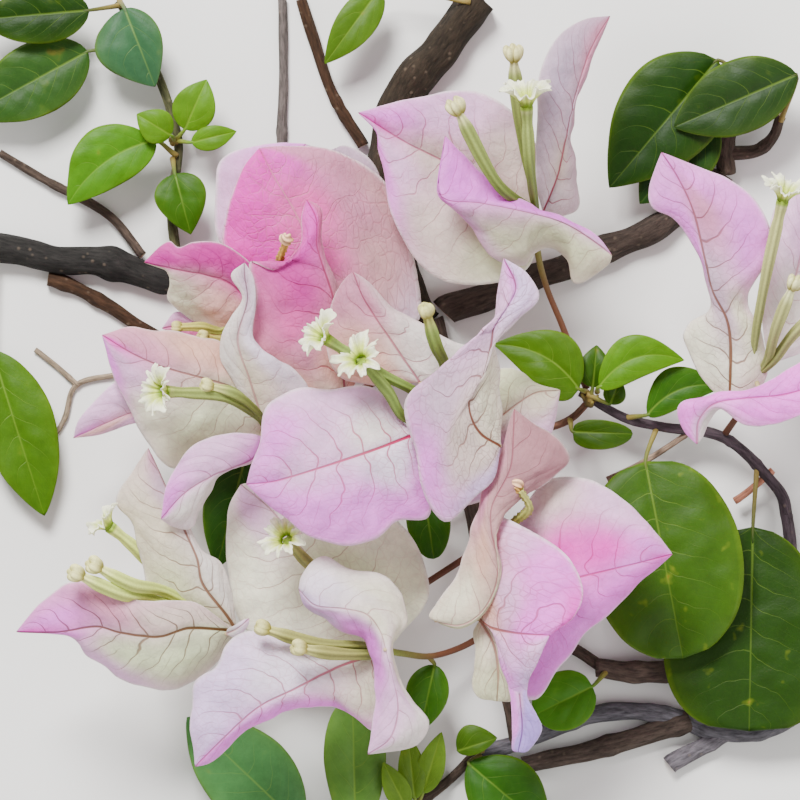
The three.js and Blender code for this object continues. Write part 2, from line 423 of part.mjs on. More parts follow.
// A limb is a line with a radius at each end. A branching limb has more than one.
const LIMBS = {
  bough_spine_upper: [{ path: [[16.4, 81.6, 3.8], [8, 71, 3.8], [0, 60, 3.7], [-3, 44, 3.6], [0, 28, 3.5],
    [5.6, 15, 3.4]], radii: [3.8, 3.3], steps: 8 }],
  bough_spine_lower: [{ path: [[6, 14.2, 3.3], [12, -4, 3.1], [16.4, -24, 2.9], [21, -44, 2.6], [24.2, -66.4, 2.3]],
    radii: [3.2, 2.2], steps: 7 }],
  bough_right: [{ path: [[9, 17.6, 3.2], [27, 24.6, 3], [40, 30, 2.8], [54, 36.2, 2.6], [62, 41.8, 2.5],
    [65.2, 45.8, 2.6]], radii: [2.9, 2.2], steps: 7 }],
  bough_right_stub: [
    { path: [[65.9, 47.6, 3], [66.2, 54, 5], [70.4, 59.6, 7], [73.4, 66.4, 8.4]], radii: [2, 1.3], steps: 4 },
    { path: [[66.2, 50, 3.8], [72.4, 50.6, 4], [75.6, 53.4, 5.4], [77, 57.4, 6.6]], radii: [1.5, 1], steps: 4 },
  ],
  bough_left: [{ path: [[-3.8, 27, 2.9], [-20, 23, 2.6], [-45.4, 24.4, 2.6], [-60, 27.4, 2.8], [-84, 31, 3]],
    radii: [2.4, 2.9], steps: 7 }],
  branch_left_low: [{ path: [[-71.2, 24.6, 1.8], [-65, 22.4, 1.6], [-58, 18.8, 1.5], [-52.4, 14.8, 1.4], [-42, 8, 1.3]],
    radii: [1.5, 1.1], steps: 5 }],
  twig_left_high: [{ path: [[-52, 29.2, 3], [-54, 32, 2.4], [-58.6, 37.2, 1.8], [-72.4, 44.8, 1.6], [-81, 50, 1.6]],
    radii: [0.9, 0.8], steps: 5 }],
  bough_low: [{ path: [[16.4, -71, 1.7], [22, -69.8, 1.8], [31, -66.4, 1.9], [37.8, -63.8, 1.9], [47, -62.8, 2],
    [56.2, -64.2, 2], [63, -67, 2], [72.2, -67, 2], [84, -61, 2.1]], radii: [1.6, 2.1], steps: 10 }],
  bough_low_stub: [{ path: [[62, -69.6, 1.8], [58, -71.8, 1.8], [54.4, -73.8, 1.8]], radii: [1.6, 1.8], steps: 2 }],
  bough_low_brown: [{ path: [[24.8, -73.8, 2], [33, -71.8, 2], [41.4, -70, 2.1], [49.6, -67.5, 2.1]],
    radii: [1.7, 2.1], steps: 4 }],
  twig_mid: [{ path: [[24.8, -47.8, 3.4], [33.6, -49.8, 3.2], [40.2, -53.6, 3]], radii: [1.1, 1.2], steps: 3 }],
  bough_mid: [{ path: [[40.99, -54.25, 2.82], [47, -55.2, 2.6], [54.4, -54.8, 2.5]], radii: [2, 2.4], steps: 3 }],
  stem_right_upper: [{ path: [[38.2, 0.4, 12], [45.4, -3.6, 10.6], [52.8, -5.4, 9.6], [60.8, -6.2, 8.6],
    [65.8, -7.8, 7.8], [70.2, -11, 6.6], [74.4, -15.6, 5.4], [77.2, -19.6, 4.4], [78.2, -24, 3.6]],
    radii: [0.8, 1.25], steps: 9 }],
  stem_right_lower: [{ path: [[78.3, -24.6, 3.4], [79.4, -34, 2.4], [79.4, -48, 1.8], [78.4, -58, 1.6],
    [77.6, -61, 1.9]], radii: [1.25, 1.5], steps: 5 }],
  twig_centre: [{ path: [[37.2, -1, 11.6], [34.6, -3.6, 11], [30.6, -5.4, 10], [22, -7, 8], [16.2, -6.8, 5.2]],
    radii: [0.7, 0.9], steps: 5 }],
  twig_tan: [{ path: [[41.8, -16, 5.6], [49, -12.6, 6.4], [57.15, -7.31, 8.39]], radii: [0.55, 0.6], steps: 2 }],
  twig_orange: [{ path: [[67.6, -20.4, 4], [70, -18.6, 4.4], [72.6, -16.4, 4.8]], radii: [0.8, 0.7], steps: 2 }],
  twig_fork: [
    { path: [[-44.4, 7.6, 1.2], [-57, 5.2, 1], [-65.6, 2.8, 1], [-68, -4, 1], [-73, -12, 1]], radii: [0.6, 0.5],
      steps: 5 },
    { path: [[-65, 2.8, 1], [-69, 6.4, 1], [-73.8, 10.2, 1]], radii: [0.6, 0.5], steps: 2 },
  ],
  twig_top_dark: [{ path: [[-20, 81, 1.8], [-14.2, 63.2, 2], [-7.4, 51.4, 2.4]], radii: [1.1, 1.2], steps: 4 }],
  twig_top_grey: [{ path: [[-23.8, 81, 1.4], [-23.6, 66, 1.4], [-23.8, 52, 1.4], [-21, 26.4, 1.8]],
    radii: [0.9, 1], steps: 4 }],
  shoot_low: [{ path: [[15.4, -71.6, 1.6], [6, -80, 1.4], [-6, -87.6, 1.4], [-20, -88, 1.4]], radii: [1, 0.8],
    steps: 5 }],
  shoot_high: [{ path: [[-45.4, 28, 3.2], [-46, 40, 3.6], [-45, 53, 4.6], [-50, 68, 4.6], [-57, 80.6, 4.6]],
    radii: [1, 0.8], steps: 6 }],
};

const BROWN_LIMBS = ['bough_low_brown', 'bough_mid', 'bough_left', 'branch_left_low', 'twig_top_dark'];
const YOUNG_LEAVES = ['leaf_node_left', 'leaf_node_right', 'leaves_node_young', 'leaf_node_low', 'leaf_shoot_upper',
  'leaves_bottom_young', 'leaf_high_left', 'leaves_high_young'];

function curveThrough(points) {
  return new THREE.CatmullRomCurve3(points.map((point) => new THREE.Vector3(...point)), false, 'centripetal');
}

// Geometry with its shared vertices merged, as a solid
function solidOf(geometry) {
  geometry.deleteAttribute('normal');
  geometry.deleteAttribute('uv');
  const merged = BufferGeometryUtils.mergeVertices(geometry, WELD_DISTANCE);
  return new wasm.Manifold(new wasm.Mesh({
    numProp: 3,
    vertProperties: new Float32Array(merged.attributes.position.array),
    triVerts: new Uint32Array(merged.index.array),
  }));
}

function geometryOf(solid) {
  const mesh = solid.getMesh();
  const geometry = new THREE.BufferGeometry();
  geometry.setAttribute('position', new THREE.BufferAttribute(new Float32Array(mesh.vertProperties), 3));
  geometry.setIndex(new THREE.BufferAttribute(new Uint32Array(mesh.triVerts), 1));
  geometry.computeVertexNormals();
  return geometry;
}

// A closed prism laid along a curve, tapering from one radius to the other
function limb(points, [startRadius, endRadius], steps, sides = LIMB_SIDES) {
  const path = curveThrough(points);
  const frames = path.computeFrenetFrames(steps, false);
  const geometry = new THREE.CylinderGeometry(1, 1, 1, sides, steps);
  const position = geometry.attributes.position;
  for (let i = 0; i < position.count; i += 1) {
    const step = Math.round((0.5 - position.getY(i)) * steps);
    const radius = THREE.MathUtils.lerp(startRadius, endRadius, step / steps);
    const place = path.getPointAt(step / steps)
      .addScaledVector(frames.normals[step], position.getX(i) * radius)
      .addScaledVector(frames.binormals[step], position.getZ(i) * radius);
    position.setXYZ(i, place.x, place.y, place.z);
  }
  return solidOf(geometry);
}

// Rows of three points: on the left margin, on the rib and on the right margin
function sheetRows({ rib, left, right, rows = BRACT_ROWS }) {
  const margins = [left, right].map((side) => [rib[0], ...side, rib.at(-1)]);
  const lines = [margins[0], rib, margins[1]].map(curveThrough);
  return Array.from({ length: rows }, (_, row) => {
    const along = THREE.MathUtils.lerp(SHEET_START, SHEET_END, row / (rows - 1));
    return lines.map((line) => line.getPointAt(along));
  });
}

// A box whose two large faces lie half a thickness to either side of the rows
function blade(rows, thickness) {
  const length = rows.length - 1;
  const width = rows[0].length - 1;
  const geometry = new THREE.BoxGeometry(1, 1, 1, length, width, 1);
  const position = geometry.attributes.position;
  for (let i = 0; i < position.count; i += 1) {
    const row = Math.round((position.getX(i) + 0.5) * length);
    const column = Math.round((position.getY(i) + 0.5) * width);
    const along = rows[Math.min(row + 1, length)][column].clone().sub(rows[Math.max(row - 1, 0)][column]);
    const acrossWay = rows[row][Math.min(column + 1, width)].clone().sub(rows[row][Math.max(column - 1, 0)]);
    const out = along.cross(acrossWay).normalize();
    const place = rows[row][column].clone().addScaledVector(out, Math.sign(position.getZ(i)) * thickness / 2);
    position.setXYZ(i, place.x, place.y, place.z);
  }
  return solidOf(geometry);
}

// The open, closed or withered head at the mouth of a flower tube
function flowerHead(kind, bend, mouth) {
  const end = new THREE.Vector3(...mouth);
  const way = end.clone().sub(new THREE.Vector3(...bend)).normalize();
  const turn = new THREE.Quaternion().setFromUnitVectors(new THREE.Vector3(0, 1, 0), way);
  let geometry;
  if (kind === 'star') {
    geometry = new THREE.CylinderGeometry(STAR_RADIUS, FLOWER_TUBE_RADIUS, STAR_DEPTH, STAR_SIDES);
  } else if (kind === 'bud') {
    geometry = new THREE.SphereGeometry(BUD_RADIUS, HEAD_SIDES, HEAD_RINGS);
    geometry.scale(1, BUD_LENGTH / (2 * BUD_RADIUS), 1);
  } else {
    geometry = new THREE.SphereGeometry(WITHERED_RADIUS, HEAD_SIDES, HEAD_RINGS);
  }
  geometry.applyQuaternion(turn);
  geometry.translate(end.x, end.y, end.z);
  return solidOf(geometry);
}

function bloom({ heart, stalk, bracts, flowers }) {
  let solid = limb([...stalk, heart], [STALK_RADIUS, STALK_RADIUS], stalk.length + 1, STALK_SIDES);
  for (const bract of bracts) {
    solid = solid.add(blade(sheetRows(bract), BRACT_THICKNESS));
    const foot = bract.claw ?? curveThrough(bract.rib).getPointAt(CLAW_REACH).toArray();
    solid = solid.add(limb([heart, foot], [CLAW_RADIUS, CLAW_RADIUS], 1, SLIM_SIDES));
  }
  for (const [kind, base, bend, mouth] of flowers) {
    const tube = [heart, base, bend, mouth];
    solid = solid.add(limb(tube, [FLOWER_TUBE_RADIUS, FLOWER_TUBE_RADIUS], SLIM_STEPS, SLIM_SIDES));
    solid = solid.add(flowerHead(kind, bend, mouth));
  }
  return solid;
}

// An ovate leaf outline: 1 at its widest place and 0 at both ends
function leafOutline(along, widest, blunt) {
  const round = blunt ? BLUNT_FULLNESS : POINTED_FULLNESS;
  const near = (along / widest) ** (widest * round);
  const far = ((1 - along) / (1 - widest)) ** ((1 - widest) * round);
  return near * far;
}

function leafRows(shape) {
  const { base, tip, left, right, bow = 0, arch = LEAF_ARCH, blunt = 0 } = shape;
  const { widest = LEAF_WIDEST, rows = LEAF_ROWS } = shape;
  const start = new THREE.Vector3(...base);
  const end = new THREE.Vector3(...tip);
  const way = end.clone().sub(start).setZ(0).normalize();
  const toLeft = new THREE.Vector3(-way.y, way.x, 0);
  return Array.from({ length: rows }, (_, row) => {
    const along = THREE.MathUtils.lerp(SHEET_START, SHEET_END, row / (rows - 1));
    const hump = 4 * along * (1 - along);
    const centre = start.clone().lerp(end, along).addScaledVector(toLeft, bow * hump);
    centre.z += arch * hump;
    const reach = leafOutline(along, widest, blunt);
    return [left, 0, -right].map((side) => centre.clone().addScaledVector(toLeft, side * reach));
  });
}

function leaf(blades) {
  let solid = null;
  for (const one of blades) {
    const body = blade(leafRows(one), LEAF_THICKNESS);
    const start = new THREE.Vector3(...one.base);
    const foot = start.clone().lerp(new THREE.Vector3(...one.tip), PETIOLE_REACH).toArray();
    const line = [one.stalk, one.base, foot];
    const stalk = limb(line, [PETIOLE_RADIUS, PETIOLE_RADIUS], SLIM_STEPS, SLIM_SIDES);
    solid = solid ? solid.add(body).add(stalk) : body.add(stalk);
  }
  return solid;
}

function limbs(branches) {
  return branches.map(({ path, radii, steps }) => limb(path, radii, steps)).reduce((all, one) => all.add(one));
}

const branch = new THREE.Group();
branch.position.set(-FLOOR_CENTRE[0], -FLOOR_CENTRE[1], -FLOOR_CENTRE[2]);

function addPiece(name, solid, colour, roughness) {
  const material = new THREE.MeshStandardMaterial({ color: COLOURS[colour], roughness, metalness: 0 });
  const piece = new THREE.Mesh(geometryOf(solid), material);
  piece.name = name;
  branch.add(piece);
}

for (const [name, parts] of Object.entries(LIMBS)) {
  addPiece(name, limbs(parts), BROWN_LIMBS.includes(name) ? 'brownBark' : 'greyBark', 0.85);
}
for (const [name, blades] of Object.entries(LEAVES)) {
  addPiece(name, leaf(blades), YOUNG_LEAVES.includes(name) ? 'youngLeaf' : 'leaf', 0.5);
}
for (const [name, parts] of Object.entries(BLOOMS)) {
  addPiece(name, bloom(parts), parts.colour, 0.7);
}

const object = new THREE.Group();
object.add(branch);

export default object;
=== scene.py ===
# A cut flowering bougainvillea branch, lying on its back on a pale studio floor.
# The guide lines are in millimetres from the middle of the spray, as the solids have them.
import math
from itertools import combinations

import bpy
import numpy as np
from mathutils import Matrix, Vector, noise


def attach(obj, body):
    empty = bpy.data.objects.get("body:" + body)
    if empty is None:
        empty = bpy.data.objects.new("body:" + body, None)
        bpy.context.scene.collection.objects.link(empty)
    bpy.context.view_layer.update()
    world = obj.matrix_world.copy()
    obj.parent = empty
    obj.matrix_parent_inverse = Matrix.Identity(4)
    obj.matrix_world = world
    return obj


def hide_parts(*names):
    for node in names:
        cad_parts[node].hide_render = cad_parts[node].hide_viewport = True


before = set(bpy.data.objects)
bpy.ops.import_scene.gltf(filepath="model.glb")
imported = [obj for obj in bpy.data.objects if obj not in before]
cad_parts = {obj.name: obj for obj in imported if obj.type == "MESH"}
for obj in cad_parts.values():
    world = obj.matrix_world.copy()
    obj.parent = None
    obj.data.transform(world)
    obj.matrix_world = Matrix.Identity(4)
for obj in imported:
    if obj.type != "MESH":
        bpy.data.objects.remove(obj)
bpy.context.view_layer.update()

MM = 0.001
FLOOR_CENTRE = np.array((0.6, -2.6, 0.24))

# The frame of the photograph, 160 mm wide at the height of the bracts, seen from far above
FIELD_MM = 160.0
FIELD_HEIGHT_MM = 35.0
CAMERA_DISTANCE_M = 3.0
SENSOR_MM = 36.0

BRACT_MM = 0.22
LEAF_MM = 0.3
PETAL_MM = 0.16
WELD_MM = 0.02
BRACT_ROWS = 80
LEAF_ROWS = 44
SIDE_VEIN_MM = 0.06
VEIN_PITCH_MM = 5.2
VEIN_SWEEP = 1.5

# The dyes of the bracts. Each bract is cream at its base and flushes toward its tip. The two greyed lilacs
# and the darkest rose are the bract colours with painted shade, where a bract lies in shade; the palest ivory
# and the brightest pink are lightened with painted light.
TINTS = {
    "white": "#EFE8E2", "ivory": "#F1EDD3", "snow": "#F0E4F3", "cream": "#E6DCC4", "green": "#D9DBB4",
    "pale": "#F0C4EA", "lavender": "#E8D0F6", "lilac": "#F48FF0", "pink": "#F250D2", "magenta": "#CE32A0",
    "rose": "#E56FAE", "dusty": "#D894B0", "tea": "#D0A2A2", "rose_painted_shade": "#BA868E", "peach": "#E6B8A2",
    "ash_lilac_painted_shade": "#D3BACC", "linen": "#DECCC1", "grey_lilac_painted_shade": "#C6B0C6", "orchid": "#EE78EC", "candy": "#F262BA",
    "hot": "#F23CC8", "blush": "#F2C6BA", "pearl": "#EEECD2", "lime": "#E6EEC6", "ivory_painted_light": "#FBFAE4",
    "violet": "#B79CE6", "pink_painted_light": "#FF84F6",
}

BLOOMS = []


def new_bloom(name, **parts):
    """A bloom with its heart, where its stalk ends, and the dyes of its flower tubes: low, high and at the
    mouth. buds is how far the lobes of its buds have spread and how large they are against a full one."""
    BLOOMS.append(dict(parts, name=name, bracts=[], flowers=[]))


def add_bract(**parts):
    """A bract of the last bloom, between three lines from its base to its tip: its rib, and the margins on
    either side, listed without the two ends that they share with the rib. claw is where its foot is, if not
    at the start of the rib. ink is the dye of its veins, how strongly it shows at the base and at the tip,
    and how much of the net between them shows. flush is where it takes which dye: along from base to tip,
    across from the left margin at -1 to the right margin at 1."""
    BLOOMS[-1]["bracts"].append(parts)


def add_flower(kind, base, bend, mouth, *own):
    """A flower of the last bloom, along its tube. A star's own values are how wide it is against a full one,
    how far it turns up, and how deep its cup is against a flat one. A bud's is how far, in millimetres, it
    stands out beyond its closed solid."""
    BLOOMS[-1]["flowers"].append((kind, base, bend, mouth, *own))


new_bloom("bloom_top", heart=(27.2, 37.6, 26), tube=("#5E6E28", "#7E8A44", "#D2CC94"), buds=(1, 1.25),
    stalk=[(37.6, 2.2, 12.4), (35, 9, 12), (32.6, 15.2, 13), (29.6, 22.4, 16), (27.8, 29, 20)])
add_bract(rib=[(27.4, 38.2, 24), (17, 43.6, 24), (8.2, 48.2, 25), (1, 51.8, 26), (-8.4, 57.6, 29)],
    left=[(26, 27, 22), (17, 23.2, 22), (9, 24, 23), (2.8, 28.6, 24), (-2, 39, 25.6), (-4.2, 50, 27),
    (-4.4, 53.4, 27.6)],
    right=[(27.6, 50, 27), (23, 57.4, 29), (15.2, 61.8, 30), (4, 60.8, 29)],
    ink=("#B0306E", 0.2, 0.5, 0.4), flush=[(0, 0, "cream"), (0.25, -0.7, "green"), (0.3, 0.5, "linen"),
    (0.5, -0.6, "linen"), (0.55, 0, "linen"), (0.75, -0.4, "pale"), (0.6, 0.6, "pale"), (0.85, 0.5, "lilac"),
    (0.8, -0.8, "lilac"), (1, 0, "pink")])
add_bract(rib=[(28.6, 37.6, 24), (31.4, 44.4, 29), (33.8, 54, 35), (35.6, 62.4, 37), (38.6, 71, 37),
    (42, 76.8, 35)],
    left=[(27.2, 44, 33), (27.4, 56.4, 39), (27.8, 65, 41), (31.4, 72.4, 40), (36.8, 76, 37)],
    right=[(32.6, 36.8, 21), (35.6, 38.4, 20), (35.8, 41.4, 21), (34.2, 49.6, 28), (35.2, 58, 34),
    (38, 67, 36)],
    ink=("#A83050", 0.8, 0.1, 0.3), flush=[(0, 0, "snow"), (0.3, 0, "linen"), (0.5, 0, "ash_lilac_painted_shade"),
    (0.65, -0.5, "grey_lilac_painted_shade"), (0.8, 0.3, "dusty"), (1, 0, "dusty")])
add_bract(claw=(26.4, 36.6, 34), rib=[(42.4, 29, 32), (39.6, 31.2, 33), (33.2, 35.2, 35), (26.2, 37.4, 36),
    (16, 39.4, 36), (8.2, 40.8, 36), (9, 52.8, 35)],
    left=[(41.8, 27.2, 31), (35, 23.6, 28), (33.6, 28, 28), (30, 30.6, 29), (26.6, 29, 28), (25.4, 26.6, 27),
    (21.6, 27.6, 27), (16.4, 31, 29), (12.4, 37, 32), (7.6, 41, 35), (8, 46, 35)],
    right=[(39.6, 32.6, 33), (33.2, 36.4, 34), (26.4, 38.8, 34), (21, 41.6, 33), (15, 47, 33)],
    ink=("#A86A88", 0.15, 0.15, 0.35), flush=[(0, 0.3, "pale"), (0.3, 0.5, "orchid"), (0.5, 0.5, "orchid"),
    (0.75, 0.4, "orchid"), (0.85, -0.3, "orchid"), (0.8, -0.8, "lilac"), (1, 0, "lilac"),
    (0.65, -0.7, "pale"), (0.5, -0.6, "green"), (0.3, -0.5, "green"), (0.15, -0.4, "green"),
    (0.03, -0.5, "cream")])
add_flower("bud", (26.4, 38.4, 28), (19.6, 43, 38), (11.6, 57.6, 43))
add_flower("star", (27, 38.6, 29), (25.8, 48, 42), (25.2, 60, 45), (1, 0.1, 1.9))
add_flower("bud", (27, 40, 27), (24, 56, 32), (23, 65.6, 36), 2.9)

new_bloom("bloom_pink", heart=(-13.6, 15, 25), tube=("#94862C", "#B08E30", "#C09040"),
    stalk=[(-0.04, 21.4, 6.14), (-8, 17.4, 14)])
add_bract(rib=[(-14, 24, 22), (-18, 36, 24), (-20, 46, 25), (-19, 51.4, 25)],
    left=[(-30, 26, 22), (-36.4, 32, 24), (-37, 43.4, 25), (-35.8, 48.2, 25), (-28, 51.4, 26)],
    right=[(-2, 30, 14), (-2.8, 40, 15), (-5.6, 47.6, 17), (-11, 51.2, 20), (-15, 50, 23)],
    ink=("#D080B0", 0.1, 0.1, 0.3), flush=[(0, 0, "cream"), (0.5, -0.6, "pale"), (0.9, -0.3, "lilac"),
    (0.6, 0.8, "ash_lilac_painted_shade")])
add_bract(rib=[(-13, 20, 27), (-17, 29, 30), (-19, 33.4, 31), (-21.4, 38.4, 32), (-25, 44.4, 33),
    (-28.2, 50.4, 33)],
    left=[(-24, 20, 26), (-31, 24, 28), (-35.6, 31.8, 30), (-33.6, 41, 32), (-31.2, 46.6, 33)],
    right=[(-6, 12, 23), (3, 15.4, 20), (4.2, 20.8, 18), (2.8, 28.4, 17), (0.4, 38, 19), (-4, 44.6, 22),
    (-14, 50, 28), (-22, 51, 31)],
    ink=("#F8C4D0", 0.5, 0.35, 0.9), flush=[(0.1, -0.5, "hot"), (0.4, -0.6, "hot"), (0.7, -0.6, "hot"),
    (0.95, -0.2, "hot"), (0.88, 0.35, "pink"), (0.6, 0.2, "candy"), (0.35, 0.1, "candy"),
    (0.8, 0.75, "dusty"), (0.6, 0.6, "dusty"), (0.6, 0.9, "tea"), (0.4, 0.65, "tea"), (0.2, 0.6, "tea"),
    (0.1, 0.3, "tea"), (0.25, 0.95, "ash_lilac_painted_shade")])
add_bract(rib=[(-11, 0.5, 28), (-12, 13, 34), (-13.4, 21, 37), (-16.4, 30.4, 40), (-16.6, 36, 41),
    (-18.6, 40, 40)],
    left=[(-18, -1, 28), (-25.4, 2.4, 30), (-30, 12, 35), (-28.8, 21, 38), (-30, 27.6, 39), (-25, 26.2, 40),
    (-20.2, 30.6, 41), (-19.6, 37, 41)],
    right=[(-8.8, 4, 28), (-10.4, 16, 33), (-13, 24, 36), (-15.8, 32, 38), (-15.6, 38, 39)],
    ink=("#98384A", 0.6, 0.3, 0.5), flush=[(0, 0, "cream"), (0.1, -0.5, "cream"), (0.2, -0.7, "peach"),
    (0.2, -0.2, "peach"), (0.3, -0.5, "dusty"), (0.42, -0.5, "candy"), (0.55, -0.4, "magenta"),
    (0.7, -0.5, "magenta"), (0.85, -0.4, "pink"), (1, 0, "pink"), (0.12, 0.6, "peach"), (0.3, 0.6, "tea"),
    (0.45, 0.6, "tea"), (0.6, 0.6, "dusty"), (0.8, 0.5, "rose")])
add_flower("withered", (-23.6, 25, 34), (-24, 28, 38), (-22.6, 31.6, 42))

new_bloom("bloom_side", heart=(-31, 18, 28), tube=("#7A8434", "#A8A24C", "#B4AA50"), buds=(0.15, 0.85),
    stalk=[(-31.61, 23.4, 5.35), (-31.4, 20.4, 16)])
add_bract(rib=[(-30.4, 20, 31), (-34, 23.2, 33), (-38, 24.8, 34), (-44.4, 26, 34), (-51.2, 27.6, 33)],
    left=[(-31.6, 15.6, 27), (-36.2, 13, 26), (-40, 14.6, 25), (-43.8, 17.4, 26), (-46.6, 20.8, 28),
    (-46, 25.4, 31)],
    right=[(-29.6, 26, 32), (-31.4, 28.8, 34), (-35.8, 31.4, 36), (-41, 31.4, 36), (-44.4, 30.6, 35),
    (-46.2, 31.8, 34)],
    ink=("#A02C78", 0.4, 0.2, 0.5), flush=[(0, 0, "rose"), (0.2, 0.5, "magenta"), (0.5, 0.6, "magenta"),
    (0.85, 0.4, "magenta"), (1, 0, "magenta"), (0.3, -0.6, "blush"), (0.6, -0.7, "pearl"),
    (0.85, -0.5, "pearl")])
add_bract(rib=[(-32, 15, 26), (-38, 14, 24), (-43, 15, 24), (-47.8, 14.4, 23)],
    left=[(-36, 11.4, 23), (-42, 12.2, 23)],
    right=[(-36, 15.6, 25), (-42, 16.6, 24), (-45, 17.6, 24)],
    ink=("#A02C78", 0.2, 0.2, 0.4), flush=[(0.5, 0, "rose"), (0.5, 0.6, "pale")])
add_flower("bud", (-34, 12.6, 27), (-36.4, 12, 31), (-38.6, 12.6, 33))
add_flower("bud", (-36, 14, 27), (-40, 14.6, 29), (-43.6, 14.6, 29))

new_bloom("bloom_centre", heart=(9, -4.6, 36), tube=("#5A7424", "#788C3E", "#B0AE5E"), buds=(0.15, 1.18),
    stalk=[(10.39, -0.96, 6.16), (9.8, -2.6, 20)])
add_bract(rib=[(2.6, -7, 45), (-7.6, -10.8, 47), (-16.2, -13.6, 47), (-25, -16.2, 46), (-30.6, -16.8, 44)],
    left=[(5.4, -17, 42), (5.6, -23.4, 41), (-1, -24.4, 42), (-5.4, -27.8, 43), (-11, -29.2, 44),
    (-17, -27.4, 44), (-23, -23.4, 44), (-28, -19.2, 44)],
    right=[(-1, -2.4, 44), (-4.4, 1.6, 44), (-8, 3, 44), (-14.4, 1.8, 44), (-19.4, 2.6, 44),
    (-23.4, 1.2, 45), (-26.4, -1.2, 46), (-28, -8, 46), (-29.8, -14, 45)],
    ink=("#C01058", 1, 0.15, 0.45), flush=[(0, 0, "snow"), (0.25, 0.3, "white"), (0.22, -0.3, "snow"),
    (0.5, 0.3, "pale"), (0.7, 0.6, "lilac"), (0.7, -0.5, "lilac"), (0.35, -0.85, "lilac"),
    (0.5, -0.6, "lilac"), (0.5, 0.95, "pale"), (0.7, 0, "pale"), (1, 0, "lilac"), (0.85, 0, "lilac")])
add_bract(rib=[(20, -9.2, 46), (16, -6.6, 49), (14, -3, 51), (13.8, 0.6, 52), (16, 3.6, 53), (18, 10.4, 53),
    (19, 16, 54), (23, 22, 55), (20.6, 28.2, 55)],
    left=[(18.6, -15.6, 47), (15, -19, 46), (9.2, -24.4, 45), (5.4, -20, 46), (3, -10, 48), (1.2, -3.4, 49),
    (1, -0.4, 50), (3.4, 3.2, 51), (8.4, 6.6, 52), (14.2, 10.4, 52), (17.6, 13.2, 53), (19.2, 20, 54)],
    right=[(20, -4, 44), (20.2, 2, 46), (19.6, 8, 49), (19.2, 12, 52), (23.6, 16.2, 54), (27.6, 20.6, 55),
    (25.4, 25, 55.5)],
    ink=("#7A4630", 1, 0.45, 0.7), flush=[(0, 0, "cream"), (0.15, -0.5, "linen"), (0.1, -0.9, "lavender"),
    (0.35, -0.85, "lilac"), (0.5, -0.6, "ash_lilac_painted_shade"), (0.3, 0.5, "ivory"), (0.3, -0.3, "linen"),
    (0.7, -0.4, "pale"), (0.85, 0.4, "lavender"), (1, 0, "lilac")])
add_bract(rib=[(4, 3.6, 38), (-1, 10.8, 39), (-7.2, 20.2, 40), (-9.4, 25.6, 41)],
    left=[(-4, 3, 36), (-12, 4.4, 35), (-14.6, 12, 36), (-13.6, 19, 38), (-11, 24, 40)],
    right=[(14, 5, 36), (14.6, 10.4, 36), (8.4, 12.4, 37), (3, 15.6, 38), (-2.8, 19.8, 39), (-7, 24, 40)],
    ink=("#A04060", 0.6, 0.2, 0.4), flush=[(0, 0, "white"), (0.4, 0.6, "white"), (0.4, -0.6, "peach"),
    (0.8, 0, "dusty"), (0.9, -0.6, "dusty")])
add_bract(rib=[(17, -6, 36), (22, -2, 37), (27, 1.4, 37), (32, 2, 36)],
    left=[(17, 3, 35), (20, 6.2, 36), (24, 5.6, 37), (27, 3.4, 37)],
    right=[(9, -16, 34), (9.6, -20.6, 33), (18, -20, 33), (28, -13, 34), (30.4, -6.6, 35)],
    ink=("#8A6A48", 0.4, 0.2, 0.5), flush=[(0, 0, "cream"), (0.5, -0.6, "green"), (0.8, 0, "cream"),
    (0.6, 0.7, "pale")])
add_flower("star", (0.8, -3.4, 46), (-2.4, 1.6, 50), (-8.6, 8.8, 54), (1, 0.8, 1.2))
add_flower("star", (3, 1.6, 46), (-4, 5.4, 50), (-15.9, 13, 54), (0.95, 0.25, 1.5))
add_flower("bud", (9, 6.6, 43), (7.2, 11, 48), (5.4, 17, 52))

new_bloom("bloom_left", heart=(-27.4, -5, 31), tube=("#66782C", "#828E44", "#C0BE76"), buds=(0.3, 1),
    stalk=[(5.72, 9.55, 6.88), (-4, 4, 12), (-18, -2, 20)])
add_bract(rib=[(-27.6, -3.8, 32), (-32.8, 2, 35), (-39.6, 4.4, 37), (-46.2, 6.2, 37), (-53, 9, 36),
    (-59.6, 13, 34)],
    left=[(-27.4, -8, 30), (-36, -11, 28), (-45, -13.4, 27), (-50, -9.4, 28), (-54.4, -1.6, 30),
    (-57.6, 6, 32)],
    right=[(-29.6, 2.4, 33), (-32, 7, 34), (-35.8, 11.4, 35), (-39.6, 12.6, 35.4), (-46, 13.6, 35.4),
    (-54, 14.4, 34)],
    ink=("#8E6644", 0.5, 0.3, 0.35), flush=[(0, 0, "lime"), (0.35, -0.6, "lime"), (0.6, -0.7, "pearl"),
    (0.8, -0.5, "pale"), (0.5, 0.7, "peach"), (0.8, 0.4, "dusty"), (0.9, -0.8, "lilac"), (1, 0, "pink")])
add_bract(rib=[(-27.6, -7.4, 33), (-28.8, -11.2, 35), (-37.4, -15.2, 38), (-43, -18.6, 38),
    (-47.8, -23.8, 36)],
    left=[(-29, -12, 33), (-35, -14.4, 33), (-38.4, -18, 33), (-39.6, -22, 33), (-41.4, -25.4, 33),
    (-45.4, -25.4, 34)],
    right=[(-30, -6.8, 36), (-37.4, -7.2, 38), (-41.4, -9.4, 39), (-44.8, -13, 39), (-46.6, -17.4, 38)],
    ink=("#A85090", 0.3, 0.2, 0.3), flush=[(0, 0, "lilac"), (0.4, 0.6, "pale"), (0.5, -0.6, "white"),
    (0.8, -0.4, "white"), (0.9, 0.5, "lilac"), (1, 0, "lilac")])
